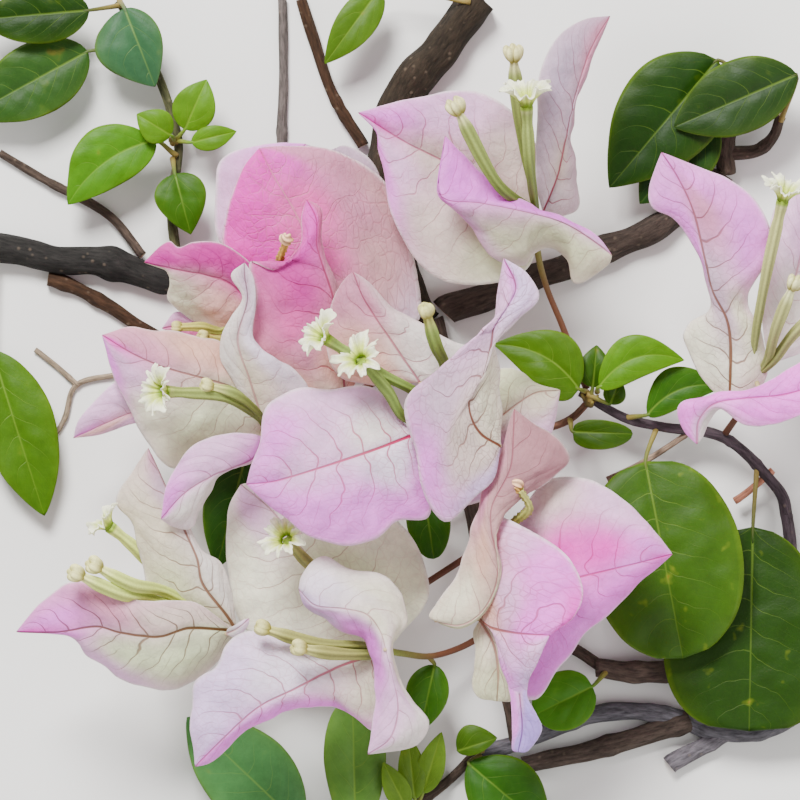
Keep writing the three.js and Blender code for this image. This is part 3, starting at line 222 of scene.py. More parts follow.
add_bract(rib=[(-27.6, -3.8, 34), (-30, 4, 37), (-32.4, 12, 40), (-30.4, 20, 42), (-31, 25, 43),
    (-31, 27.4, 43)],
    left=[(-32.8, 2.6, 36), (-36, 9, 38), (-35.8, 13, 40), (-33.6, 16.6, 41), (-31.4, 20.4, 42),
    (-33.6, 25, 43)],
    right=[(-18, 1, 33), (-22, 7, 36), (-29.2, 11.4, 39), (-28.8, 19, 42), (-29.4, 24.6, 43)],
    ink=("#B08890", 0.2, 0.1, 0.4), flush=[(0, 0, "cream"), (0.25, 0, "cream"), (0.5, -0.6, "white"),
    (0.5, 0.6, "snow"), (0.9, 0, "ash_lilac_painted_shade")])
add_bract(rib=[(-28.4, -4.8, 28), (-38, -1, 26), (-50, -1.4, 25), (-57.6, -4, 25), (-65.6, -7.6, 23)],
    left=[(-36, -6, 26), (-48, -4.6, 24), (-54, -4.8, 24), (-60, -6.8, 23)],
    right=[(-38, 4, 27), (-50, 4.4, 26), (-56, 4, 27), (-59.4, 1.6, 27), (-64.4, -4, 25)],
    ink=("#B08890", 0.1, 0.1, 0.3), flush=[(0, 0, "white"), (0.5, 0.5, "snow"), (0.75, 0.6, "pale"),
    (0.6, -0.6, "pale"), (0.85, -0.3, "blush"), (1, 0, "lilac")])
add_flower("star", (-28.4, -3.4, 35), (-35, 0.6, 42), (-48.2, 1.8, 46), (1, 0.4, 1.4))
add_flower("bud", (-28.4, -2.8, 36), (-33, 1.2, 42), (-37.6, 2.6, 44))

new_bloom("bloom_low_left", heart=(-32.4, -46.8, 25.6), tube=("#98A840", "#C4D06C", "#E6E69A"),
    buds=(0.6, 1.2),
    stalk=[(16.25, -29.91, 6.12), (-4, -43, 9), (-20, -54, 12), (-31.6, -51.4, 18)])
add_bract(rib=[(-32.8, -46.4, 26), (-34.6, -43.4, 28), (-39.6, -36.6, 31), (-40.6, -31.8, 32),
    (-43.2, -25.8, 32), (-47, -17, 31), (-50.4, -9.6, 30)],
    left=[(-40, -46, 25), (-48.6, -41.4, 27), (-51.2, -36.2, 28), (-52.4, -29.6, 29), (-53.8, -24.6, 30),
    (-56.8, -20.6, 30), (-54.2, -15, 30)],
    right=[(-33.6, -39.4, 27), (-34.8, -33.6, 28), (-39.4, -30.6, 30), (-42.2, -25.4, 31),
    (-47.2, -17.4, 31)],
    ink=("#7E5A3E", 1, 0.4, 0.3), flush=[(0, 0, "cream"), (0.3, -0.6, "green"), (0.3, 0.5, "white"),
    (0.65, -0.5, "cream"), (0.8, 0, "ash_lilac_painted_shade"), (1, 0, "dusty")])
add_bract(rib=[(-32.8, -46.4, 28), (-36, -46, 31), (-42.8, -45.8, 34), (-48, -47.4, 35), (-56, -46.6, 36),
    (-60.2, -45.4, 36), (-68.4, -46.4, 35), (-76.8, -46.4, 33)],
    left=[(-35.6, -50.6, 26), (-39.4, -55.4, 26), (-43.6, -57.6, 26), (-49, -58, 27), (-54.6, -56.6, 28),
    (-62.4, -51, 31), (-66, -47.4, 33)],
    right=[(-37.6, -42.8, 32), (-41.6, -40.4, 34), (-51.8, -40.2, 36), (-58.8, -37.4, 37),
    (-62.4, -36.2, 37), (-67.4, -37.2, 36), (-71.8, -40.6, 35)],
    ink=("#6A4A1E", 1, 0.6, 0.22), flush=[(0, 0, "lime"), (0.3, -0.5, "lime"), (0.5, -0.4, "lime"),
    (0.6, -0.9, "pale"), (0.35, 0.5, "linen"), (0.6, 0.5, "dusty"), (0.8, 0.4, "lilac"),
    (0.85, -0.3, "lilac"), (1, 0, "pink")])
add_bract(rib=[(-34.8, -46.8, 30.4), (-33, -46, 32), (-31.4, -44.9, 33), (-30.2, -43.7, 32.4)],
    left=[(-34.4, -45.8, 31.2), (-32.8, -45, 32.6), (-31.2, -44, 32.8)],
    right=[(-33.4, -47.4, 31), (-31.6, -46.4, 32), (-30.4, -44.9, 32.4)],
    ink=("#9A7A5A", 0.2, 0.1, 0.1), flush=[(0.3, 0, "white"), (0.6, 0, "snow"), (1, 0, "pale")])
add_flower("star", (-50, -33, 25.6), (-54, -28.8, 29), (-59.2, -24.4, 32.4), (0.8, -0.3, 1.5))
add_flower("bud", (-49.6, -40, 31.6), (-56, -38.6, 38.4), (-63.8, -35, 43))
add_flower("bud", (-47, -38.4, 31), (-54, -36.6, 38.6), (-60.2, -33.4, 42))

new_bloom("bloom_low", heart=(-2.2, -50.4, 26), tube=("#6A7032", "#908E4C", "#BEBA70"), buds=(0.2, 1.2),
    stalk=[(19.58, -45.89, 5.33), (12, -50, 10), (6, -51.6, 15), (1, -51, 21)])
add_bract(rib=[(-2.4, -50, 22), (-9, -42, 22), (-18, -32, 22), (-26, -22, 22), (-32, -17, 21)],
    left=[(-10, -52, 21), (-22, -50, 20), (-30.6, -46.6, 19), (-33.4, -41.6, 19), (-34.8, -31, 20),
    (-34.6, -22, 20)],
    right=[(2.4, -44.6, 20), (5.8, -39.4, 20), (5.8, -36.4, 20), (3.4, -29.8, 20), (-1, -23.6, 20),
    (-10, -18, 20), (-24, -15.6, 20)],
    ink=("#8A7A48", 0.35, 0.2, 0.45), flush=[(0, 0, "ivory_painted_light"), (0.4, -0.6, "ivory_painted_light"), (0.6, 0.6, "ivory_painted_light"),
    (0.4, 0.2, "lime"), (0.9, -0.4, "pale"), (0.7, -0.7, "ivory_painted_light")])
add_bract(rib=[(-2.4, -50.6, 29), (-7, -51.6, 32), (-12.8, -53.6, 34), (-21, -57.8, 36), (-28.2, -61.4, 36),
    (-35.6, -68, 34), (-41, -73.4, 31)],
    left=[(-1.4, -58, 28), (-4.4, -66.4, 27), (-9.4, -62.8, 28), (-15, -61, 30), (-24.2, -62.8, 32),
    (-32.2, -67.4, 32), (-38, -72.6, 31)],
    right=[(-6.4, -50.4, 31), (-14, -49, 32), (-21.8, -48, 33), (-30.6, -46.4, 33), (-34.6, -49, 34),
    (-37.2, -53.6, 34), (-41, -56.6, 33), (-41.8, -62, 33)],
    ink=("#B03058", 0.8, 0.2, 0.45), flush=[(0, 0, "ivory"), (0.2, -0.6, "ivory"), (0.2, 0.5, "white"),
    (0.45, 0.3, "snow"), (0.45, -0.85, "lilac"), (0.65, -0.7, "lilac"), (0.7, 0.6, "lavender"),
    (0.85, 0.3, "lavender"), (0.85, -0.4, "lilac"), (1, 0, "lilac")])
add_bract(claw=(-3, -49.8, 43), rib=[(-20.2, -37.8, 38), (-17, -41, 40), (-11, -41.7, 42), (-6.6, -42.8, 43),
    (-4, -46, 43), (-2.8, -50, 43), (-1.2, -56, 42), (-0.4, -62, 41), (-2, -67.6, 40), (-6.4, -70.8, 38)],
    left=[(-19, -41, 37), (-14.6, -44.2, 37), (-10.4, -47, 37), (-6.8, -48, 38), (-5.8, -52, 38),
    (-5, -58, 38), (-5.4, -64, 38)],
    right=[(-19.6, -35.2, 38), (-15.6, -31.4, 37), (-10, -33.6, 37), (-3, -35.4, 36), (0.8, -38.8, 36),
    (1, -43.6, 37), (-1.2, -49, 40), (0.4, -57, 38), (5.8, -64.4, 37), (2.8, -69, 37)],
    ink=("#A87888", 0.15, 0.1, 0.25), flush=[(0, 0, "lavender"), (0.15, 0.5, "snow"),
    (0.2, -0.8, "lavender"), (0.3, 0.6, "ivory"), (0.4, 0.1, "ivory"), (0.35, -0.7, "lilac"),
    (0.45, -0.7, "orchid"), (0.57, -0.6, "lilac"), (0.6, 0, "pale"), (0.75, -0.5, "pale"),
    (0.9, -0.4, "pale"), (0.55, 0.7, "ivory"), (0.7, 0.5, "pale"), (0.8, 0.7, "white"), (0.9, 0.5, "white"),
    (1, 0, "pale")])
add_flower("star", (-15, -36, 26), (-19.6, -31.4, 32.6), (-23.4, -27.2, 37), (0.95, 0.45, 1.3))
add_flower("bud", (-6.6, -51, 34), (-14, -50.6, 39), (-19.4, -49.6, 42))
add_flower("bud", (-7.4, -49.4, 33), (-17, -48.6, 37), (-26.6, -45.8, 39))

new_bloom("bloom_right", heart=(16, -43.6, 36), tube=("#6E8020", "#86963A", "#A8A45A"),
    stalk=[(20.39, -43.74, 5.19), (18.6, -43.6, 20)])
add_bract(rib=[(7, -44, 41), (11.8, -45, 42), (15.6, -43.2, 43), (18.6, -38.6, 44.6), (19.6, -33, 46),
    (18.2, -26, 46), (18.2, -21.6, 46), (22, -13.6, 45), (22.6, -7, 44), (22.8, -1.8, 43)],
    left=[(5.8, -43.2, 41), (10.2, -36.6, 41), (13, -30, 42), (14.8, -23.8, 43), (16.4, -18.6, 43),
    (20, -11, 43), (21.6, -5, 43)],
    right=[(8.4, -44.8, 40.6), (12, -45.6, 41.4), (16.2, -43.2, 42.4), (19.3, -38.6, 44), (20.3, -33, 45.4),
    (19, -26, 45.4), (20.4, -22.4, 43), (26.6, -18.2, 41), (30.4, -15.2, 40), (34.2, -12, 39),
    (30.4, -7, 40), (26.2, -4.4, 42)],
    ink=("#A86078", 0.3, 0.2, 0.35), flush=[(0, 0, "ivory"), (0.15, 0.5, "green"), (0.2, -0.6, "ivory"),
    (0.4, -0.5, "peach"), (0.5, 0, "tea"), (0.6, -0.7, "dusty"), (0.75, 0, "rose_painted_shade"), (0.8, 0.6, "rose_painted_shade"),
    (1, 0, "rose_painted_shade")])
add_bract(rib=[(15.6, -43.4, 39), (17.6, -45.2, 42), (22.8, -46.4, 46), (29.8, -46.8, 49)],
    left=[(19.8, -46.6, 42), (19.6, -50, 42), (21.2, -55, 42), (22.2, -58.4, 42), (23.8, -59, 42.6),
    (25, -58.6, 43.4), (26.4, -54, 46), (28.2, -50, 48)],
    right=[(17.6, -36, 36), (17.4, -26, 38), (18.4, -23, 41), (25.2, -25.6, 45), (33.6, -31.4, 49),
    (36.4, -38.4, 50), (34.6, -43, 50)],
    ink=("#94503A", 0.8, 0.5, 0.75), flush=[(0, 0, "cream"), (0.15, 0.6, "peach"), (0.3, 0.2, "peach"),
    (0.32, 0.8, "peach"), (0.48, 0.85, "pale"), (0.45, 0.3, "pale"), (0.6, 0.7, "pink_painted_light"),
    (0.7, 0.85, "pink_painted_light"), (0.85, 0.8, "pink"), (0.75, 0.45, "pink_painted_light"), (0.7, 0.15, "pink_painted_light"),
    (1, 0, "pink_painted_light"), (0.2, -0.4, "pale"), (0.4, -0.5, "pale"), (0.5, -0.8, "lilac"),
    (0.62, -0.8, "lavender"), (0.8, -0.6, "pale")])
add_bract(rib=[(16, -44, 37), (18.6, -48.6, 38), (19.6, -54, 38), (19.4, -60.2, 37)],
    left=[(22, -46, 37), (23, -53, 38), (22.6, -59.8, 37)],
    right=[(14.6, -46.4, 37), (15.2, -50, 37), (14, -56.6, 36), (15.8, -59.2, 36)],
    ink=("#8E6648", 0.6, 0.3, 0.4), flush=[(0.3, 0, "cream"), (0.8, 0, "green")])
add_bract(rib=[(17, -43.4, 35), (26, -38, 38), (36.6, -35.2, 40), (45, -33.2, 40), (54.4, -30.8, 38)],
    left=[(18, -54, 32), (26.8, -60, 32), (32.4, -52.2, 34), (41.8, -42.4, 36), (51.2, -33.6, 37)],
    right=[(18, -32, 33), (24.4, -22, 33), (29.4, -16.4, 34), (37, -15.6, 35), (45, -20, 37),
    (51.2, -26.8, 38)],
    ink=("#C0306A", 0.4, 0.2, 0.4), flush=[(0, 0, "linen"), (0.25, 0.4, "linen"), (0.3, 0.9, "ash_lilac_painted_shade"),
    (0.5, 0.85, "linen"), (0.36, -0.1, "lilac"), (0.48, 0.3, "hot"), (0.66, 0.25, "hot"), (0.7, 0.8, "pale"),
    (0.3, -0.7, "lilac"), (0.5, -0.7, "lilac"), (0.75, -0.5, "pink_painted_light"), (0.8, 0, "lilac"),
    (0.9, 0.4, "lilac"), (1, 0, "pink")])
add_bract(claw=(17, -45, 37), rib=[(23.6, -54.4, 43.2), (23.8, -58, 42.2), (24.2, -62, 41.8),
    (24.4, -66, 41.4), (23.6, -70.2, 41)],
    left=[(25.2, -56, 43.2), (25.4, -59.4, 42.6), (27.3, -63, 42.6), (28.3, -65.4, 42), (26.9, -68.4, 41.4),
    (25.2, -70.2, 41)],
    right=[(21.7, -56, 42), (22.1, -59.4, 41.8), (22.4, -63, 41.6), (22.5, -66.6, 41.2), (22.5, -69.9, 41)],
    ink=("#6E5A96", 0.05, 0.2, 0.5), flush=[(0, 0, "pale"), (0.25, 0, "pale"), (0.35, 0.8, "lilac"),
    (0.65, 0.7, "lilac"), (0.5, -0.6, "violet"), (0.75, -0.4, "violet"), (0.9, 0.4, "violet"),
    (1, 0, "violet")])
add_flower("withered", (22, -25.4, 39), (25.8, -21.6, 42.8), (24, -18, 44.8))

new_bloom("bloom_edge", heart=(71, 4.6, 32), tube=("#82864A", "#A4A466", "#D8D8A2"), buds=(0.8, 1.1),
    stalk=[(65.75, -6.56, 9.01), (68.6, -2, 18)])
add_bract(rib=[(66, 0.6, 33), (66, 12, 37), (65.2, 16.2, 39), (62.3, 21.6, 41), (60.7, 28.4, 42),
    (58.4, 38, 43), (55.4, 44.4, 43), (52.2, 49.4, 42)],
    left=[(63, 1.6, 31), (58.6, 7.6, 32), (56.6, 12.4, 33), (57.8, 14.8, 34), (61.2, 17.6, 36),
    (62, 20.4, 38), (60.4, 26.6, 40), (56.8, 33.8, 41), (54.2, 36.4, 42), (50.4, 38.6, 42),
    (49.8, 42.6, 42)],
    right=[(70, -0.2, 32), (73, 4, 33), (73.4, 9, 34), (72, 14, 36), (69.8, 18.2, 38), (70.2, 22.2, 40),
    (73.2, 28.8, 43), (73.8, 33.6, 44), (70.4, 40.4, 45), (65.6, 43.8, 44)],
    ink=("#7A5230", 1, 0.4, 0.4), flush=[(0, 0, "ivory_painted_light"), (0.1, -0.6, "ivory_painted_light"), (0.2, -0.7, "ivory_painted_light"),
    (0.3, 0.6, "ivory"), (0.45, 0, "ash_lilac_painted_shade"), (0.6, 0.7, "lilac"), (0.7, -0.5, "lilac"), (0.75, 0.2, "dusty"),
    (0.85, 0.4, "lilac"), (1, 0, "lilac")])
add_bract(claw=(72, 1.6, 37), rib=[(59.4, -8.8, 34), (59.8, -4, 36), (62.8, -0.8, 37), (68.8, 0.4, 38),
    (76.2, 1, 39), (83, 3, 39), (89, 6.4, 38)],
    left=[(60.4, -7.6, 34), (62, -3.8, 34), (64.2, -1.6, 36), (67.6, -4.4, 37), (72.6, -5.3, 38),
    (80, -3, 39), (86.4, 1.4, 39)],
    right=[(57, -6.4, 34), (55.6, -3, 35), (56, -0.8, 36), (61.6, 1, 36), (68.8, 1.8, 37), (76.2, 5, 38),
    (83, 9, 38), (87.6, 9.4, 38)],
    ink=("#B03888", 0.2, 0.15, 0.4), flush=[(0, 0, "pale"), (0.1, -0.6, "white"), (0.3, 0.5, "pink_painted_light"),
    (0.5, -0.4, "pink_painted_light"), (0.6, 0.4, "pink_painted_light"), (0.8, 0, "pink_painted_light"), (1, 0, "pink")])
add_bract(rib=[(74, 7, 29), (78, 20, 29), (81, 33, 29), (81.4, 44, 28)],
    left=[(72.4, 18, 29), (73.4, 30, 29), (75.2, 38.6, 29), (78.6, 41.8, 28.5)],
    right=[(82, 11, 28), (88, 22, 28), (88.4, 34, 28), (85, 41, 28)],
    ink=("#B08890", 0.2, 0.1, 0.3), flush=[(0.3, 0, "white"), (0.8, 0, "pale")])
add_flower("star", (70.6, 9, 35), (73, 25, 43), (76.6, 41.2, 46), (0.95, 0.2, 1.8))
add_flower("bud", (73.4, 8, 36), (75, 14, 43), (78.2, 22.4, 48))
add_flower("bud", (74.4, 7.6, 36), (79, 13.6, 42), (85, 18.6, 46))


def blade(base, tip, stalk, left, right, bow=0, widest=0.4, blunt=0, arch=1.2):
    """A leaf from its base to its tip, with the start of its stalk. left and right are how far it reaches
    to its sides, bow is how far its midrib curves aside, and arch how far it rises."""
    return dict(base=base, tip=tip, stalk=stalk, left=left, right=right, bow=bow, widest=widest, blunt=blunt,
                arch=arch)


# Each leaf, or tuft of leaves, has its age, its green and its blades. The greens are darkened with painted
# shade,
# deepest for the leaves lying in shade: those at the back, in the top corner, and the big right one.
LEAVES = {
    "leaf_node_left": ("young", "#426604", [
        blade((36, 2.2, 17.4), (18.6, 11.2, 16), (37.2, 1.8, 13.8), 6.2, 6.2, bow=-2.6, widest=0.32)]),
    "leaf_node_right": ("young", "#4F7F05", [
        blade((40, 2.6, 17.4), (57.2, 8, 17), (39.8, 1.9, 13.8), 4.8, 4.2, bow=3.4, widest=0.42)]),
    "leaves_node_young": ("young", "#335708", [
        blade((38.8, 2.6, 14.4), (39.6, 11, 15), (38.5, 0.9, 13.4), 3.4, 3.4),
        blade((42.4, -0.8, 13.6), (44.2, 4.2, 14.4), (38.8, 0.7, 13.5), 2.2, 2.4)]),
    "leaf_stem": ("green", "#305D08", [
        blade((49.8, -3, 14), (65.4, 2.6, 14), (46.8, -3.4, 11.7), 4.8, 3.4, bow=2.6)]),
    "leaf_node_low": ("young", "#304F06", [
        blade((34.8, -6.4, 15), (46.8, -6.8, 15), (34.4, -4.6, 12.2), 2.6, 3.4, blunt=1)]),
    "leaf_big_left": ("green", "#36590C", [
        blade((49.4, -12.4, 14), (57, -52, 14.4), (51.5, -6.27, 10.23), 15.8, 15.2, widest=0.5, blunt=1,
            arch=2)]),
    "leaf_big_right": ("green", "#214003", [
        blade((71.2, -25.6, 8.6), (70.4, -66.8, 9.6), (72.1, -13.2, 6), 17, 17.6, widest=0.6, blunt=1,
            arch=0.6)]),
    "leaf_low": ("green", "#447C14", [
        blade((38.8, -57.8, 8.6), (27.4, -63.4, 9), (41.02, -55.55, 4.93), 6, 6, widest=0.5, blunt=1)]),
    "leaf_shoot_upper": ("young", "#41640E", [
        blade((11.6, -70.8, 7), (19.6, -68.2, 8), (16.09, -70.89, 3.46), 4.4, 1.8)]),
    "leaf_shoot_right": ("green", "#2D5C0C", [
        blade((13.8, -73.4, 6), (30, -87, 6), (15.74, -72.11, 3.18), 7.6, 7, widest=0.45)]),
    "leaf_under_low": ("green", "#386A0C", [
        blade((7, -53.4, 12), (4, -67, 11), (6.2, -52.2, 13.4), 4, 4.6)]),
    "leaf_under_centre": ("green", "#2D5C0C", [
        blade((5, -19.6, 12), (6.8, -32, 12), (13.61, -19.17, 5.62), 4.4, 4.4, blunt=1)]),
    "leaf_under_left": ("green", "#285311", [
        blade((-31, -11, 15), (-37, -34, 12), (-20.05, -3.27, 20.77), 6, 6)]),
    "leaf_bottom": ("green", "#568030", [
        blade((-9, -86, 5.4), (-9.6, -60.6, 8), (-9, -87.4, 2.79), 6, 6.4, widest=0.55, blunt=1)]),
    "leaf_bottom_left": ("green", "#4C8446", [
        blade((-20, -86, 5.4), (-43, -64, 8), (-18.6, -87.56, 2.69), 9, 9, widest=0.45)]),
    "leaves_bottom_young": ("young", "#5E8020", [
        blade((3, -80.6, 5), (1.6, -67.4, 7), (3.41, -81.99, 3.02), 2.8, 2.8),
        blade((4.6, -79.4, 5), (8.4, -67, 7.4), (3.41, -81.99, 3.02), 2.8, 2.8),
        blade((1.4, -82.6, 6), (-3.4, -73, 10.6), (3.41, -81.99, 3.02), 2.6, 2.6)]),
    "leaf_high_left": ("young", "#487E09", [
        blade((-49.4, 52.4, 9), (-67, 39.4, 9), (-46, 50, 6.2), 5.6, 7, bow=-2.4, widest=0.42)]),
    "leaf_high_low": ("green", "#37600A", [
        blade((-45.4, 45.6, 9), (-42.2, 33.4, 9), (-45.8, 48, 6.2), 5.2, 5.2, widest=0.35)]),
    "leaves_high_young": ("young", "#58870F", [
        blade((-46.2, 53.4, 10.4), (-53, 57.6, 11.4), (-45.4, 52.4, 6.4), 3.6, 3.6),
        blade((-43.4, 54.6, 9), (-39, 64.6, 10), (-45.4, 52.4, 6.4), 4.4, 4.4),
        blade((-42, 52, 9), (-33, 54.2, 9), (-45.4, 52.4, 6.4), 2.4, 2.6)]),
    "leaf_top_fold": ("green", "#355F3B", [
        blade((-55.6, 79, 9), (-49.4, 63.2, 9), (-56.39, 80.2, 5.87), 5, 8.6, widest=0.4)]),
    "leaf_top_left": ("green", "#2C4F18", [
        blade((-63, 70.4, 7), (-88, 56.8, 7), (-52, 70.6, 6.2), 7.4, 7.4)]),
    "leaf_top_corner": ("green", "#1C3C03", [
        blade((-62.6, 78.6, 10.6), (-86, 76.6, 10), (-56.95, 79.62, 6.02), 6, 5.4)]),
    "leaf_edge_left": ("green", "#477106", [
        blade((-82.4, 10, 5), (-71.8, -23.4, 5), (-82, 28, 4.6), 8, 7, widest=0.45)]),
    "leaf_top_centre": ("green", "#4A6E10", [
        blade((-4, 83, 9), (-15.2, 67.8, 9), (12.93, 80.5, 7.94), 4.2, 3.8)]),
    "leaf_back_wide": ("green", "#1B3C04", [
        blade((64, 68.6, 10), (42.2, 42.8, 10), (70.6, 63.6, 9.4), 9.6, 11)]),
    "leaf_back_low": ("green", "#1C3E0E", [
        blade((63, 57.4, 7.6), (48.4, 39.6, 7), (65.4, 55.6, 7.6), 7, 7)]),
    "leaf_back_right": ("green", "#223D12", [
        blade((80, 65.6, 13), (55.2, 55, 13), (77.21, 57.34, 7.74), 7, 8, widest=0.45)]),
}

# How far, in millimetres, a leaf stalk reaches into its twig
STALK_ROOT = 1.3
# The swollen scales of the twig's node: where each starts and ends, and its radius at the foot
NODE_SCALES = [
    ((38.1, -0.8, 11.6), (38.1, 1.6, 13.6), 1.2), ((37.4, 0.0, 12.0), (36.6, 1.2, 13.8), 0.6),
    ((39.0, -0.2, 12.0), (39.9, 0.9, 13.8), 0.6), ((38.4, -1.0, 12.0), (38.8, -0.4, 13.4), 0.7),
]

# Each limb has its colour, the tone of its bark, how far its first and last points run on into the limb that
# it grows from, in millimetres, and its branches. A branch is its radius at either end and its middle line.
LIMBS = {
    "bough_spine_upper": ("grey", "#2C241B", (0, 0), [
        (3.8, 3.3, [(16.4, 81.6, 3.8), (8, 71, 3.8), (0, 60, 3.7), (-3, 44, 3.6), (0, 28, 3.5),
         (5.6, 15, 3.4)])]),
    "bough_spine_lower": ("grey", "#43372F", (1.5, 3.5), [
        (3.2, 2.2, [(6, 14.2, 3.3), (12, -4, 3.1), (16.4, -24, 2.9), (21, -44, 2.6), (24.2, -66.4, 2.3)])]),
    "bough_right": ("grey", "#3A302A", (0, 0), [
        (2.9, 2.2, [(9, 17.6, 3.2), (27, 24.6, 3), (40, 30, 2.8), (54, 36.2, 2.6), (62, 41.8, 2.5),
         (65.2, 45.8, 2.6)])]),
    "bough_right_stub": ("grey", "#43372F", (1.5, 0), [
        (2, 1.3, [(65.9, 47.6, 3), (66.2, 54, 5), (70.4, 59.6, 7), (73.4, 66.4, 8.4)]),
        (1.5, 1, [(66.2, 50, 3.8), (72.4, 50.6, 4), (75.6, 53.4, 5.4), (77, 57.4, 6.6)])]),
    "bough_left": ("brown", "#23211F", (0, 0), [
        (2.4, 2.9, [(-3.8, 27, 2.9), (-20, 23, 2.6), (-45.4, 24.4, 2.6), (-60, 27.4, 2.8), (-84, 31, 3)])]),
    "branch_left_low": ("brown", "#382619", (0, 0), [
        (1.5, 1.1, [(-71.2, 24.6, 1.8), (-65, 22.4, 1.6), (-58, 18.8, 1.5), (-52.4, 14.8, 1.4),
         (-42, 8, 1.3)])]),
    "twig_left_high": ("grey", "#43372F", (0, 0), [
        (0.9, 0.8, [(-52, 29.2, 3), (-54, 32, 2.4), (-58.6, 37.2, 1.8), (-72.4, 44.8, 1.6),
         (-81, 50, 1.6)])]),
    "bough_low": ("grey", "#5A575C", (0, 0), [
        (1.6, 2.1, [(16.4, -71, 1.7), (22, -69.8, 1.8), (31, -66.4, 1.9), (37.8, -63.8, 1.9), (47, -62.8, 2),
         (56.2, -64.2, 2), (63, -67, 2), (72.2, -67, 2), (84, -61, 2.1)])]),
    "bough_low_stub": ("grey", "#645F64", (4.5, 0), [
        (1.6, 1.8, [(62, -69.6, 1.8), (58, -71.8, 1.8), (54.4, -73.8, 1.8)])]),
    "bough_low_brown": ("brown", "#453A33", (0, 9.5), [
        (1.7, 2.1, [(24.8, -73.8, 2), (33, -71.8, 2), (41.4, -70, 2.1), (49.6, -67.5, 2.1)])]),
    "twig_mid": ("grey", "#43372F", (0, 0), [
        (1.1, 1.2, [(24.8, -47.8, 3.4), (33.6, -49.8, 3.2), (40.2, -53.6, 3)])]),
    "bough_mid": ("brown", "#54463E", (1.5, 0), [
        (2, 2.4, [(40.99, -54.25, 2.82), (47, -55.2, 2.6), (54.4, -54.8, 2.5)])]),
    "stem_right_upper": ("grey", "#40353A", (2.2, 0), [
        (0.8, 1.25, [(38.2, 0.4, 12), (45.4, -3.6, 10.6), (52.8, -5.4, 9.6), (60.8, -6.2, 8.6),
         (65.8, -7.8, 7.8), (70.2, -11, 6.6), (74.4, -15.6, 5.4), (77.2, -19.6, 4.4), (78.2, -24, 3.6)])]),
    "stem_right_lower": ("grey", "#40353A", (1.5, 0), [
        (1.25, 1.5, [(78.3, -24.6, 3.4), (79.4, -34, 2.4), (79.4, -48, 1.8), (78.4, -58, 1.6),
         (77.6, -61, 1.9)])]),
    "twig_centre": ("grey", "#6A4A3A", (1.8, 0), [
        (0.7, 0.9, [(37.2, -1, 11.6), (34.6, -3.6, 11), (30.6, -5.4, 10), (22, -7, 8), (16.2, -6.8, 5.2)])]),
    "twig_tan": ("grey", "#8E7866", (0, 1), [
        (0.55, 0.6, [(41.8, -16, 5.6), (49, -12.6, 6.4), (57.15, -7.31, 8.39)])]),
    "twig_orange": ("grey", "#A8705A", (0, 3.5), [
        (0.8, 0.7, [(67.6, -20.4, 4), (70, -18.6, 4.4), (72.6, -16.4, 4.8)])]),
    "twig_fork": ("grey", "#8A7A66", (0, 0), [
        (0.6, 0.5, [(-44.4, 7.6, 1.2), (-57, 5.2, 1), (-65.6, 2.8, 1), (-68, -4, 1), (-73, -12, 1)]),
        (0.6, 0.5, [(-65, 2.8, 1), (-69, 6.4, 1), (-73.8, 10.2, 1)])]),
    "twig_top_dark": ("brown", "#382619", (0, 0), [
        (1.1, 1.2, [(-20, 81, 1.8), (-14.2, 63.2, 2), (-7.4, 51.4, 2.4)])]),
    "twig_top_grey": ("grey", "#5A524E", (0, 0), [
        (0.9, 1, [(-23.8, 81, 1.4), (-23.6, 66, 1.4), (-23.8, 52, 1.4), (-21, 26.4, 1.8)])]),
    "shoot_low": ("grey", "#43372F", (0, 0), [
        (1, 0.8, [(15.4, -71.6, 1.6), (6, -80, 1.4), (-6, -87.6, 1.4), (-20, -88, 1.4)])]),
    "shoot_high": ("grey", "#4A4A30", (0, 0), [
        (1, 0.8, [(-45.4, 28, 3.2), (-46, 40, 3.6), (-45, 53, 4.6), (-50, 68, 4.6), (-57, 80.6, 4.6)])]),
}


# Colours, lines and grids

STEPS_BETWEEN = 16
WAVE_COUNT = 7
WAVE_PEAK = 3.2
# How a dye spreads from its spot: less far along the sheet than across it, and with this soft middle
SPREAD_ACROSS = 0.55
SOFT_MIDDLE = 0.006
SPREAD_POWER = 1.6


def dye(code):
    """An sRGB hex value as a linear colour."""
    parts = [int(code[i:i + 2], 16) / 255 for i in (1, 3, 5)]
    return np.array([p / 12.92 if p <= 0.04045 else ((p + 0.055) / 1.055) ** 2.4 for p in parts])


def placed(points):
    """Points of the spray, in millimetres, in the frame of the model, in metres."""
    return (np.asarray(points, float) - FLOOR_CENTRE) * MM


def run_of(line):
    """How far along a line each of its points is."""
    return np.concatenate([[0], np.cumsum(np.linalg.norm(np.diff(line, axis=0), axis=1))])


def unit(way):
    return way / np.linalg.norm(way)


def frame_around(way):
    """Two directions square to a way and to each other."""
    side = unit(np.cross(way, (0.0, 1.0, 0.0) if abs(way[1]) < 0.9 else (1.0, 0.0, 0.0)))
    return side, np.cross(way, side)


def blended(share, first, second):
    """Rows of a value that goes over from the first to the second with its share."""
    return first + (second - first) * share[..., None]


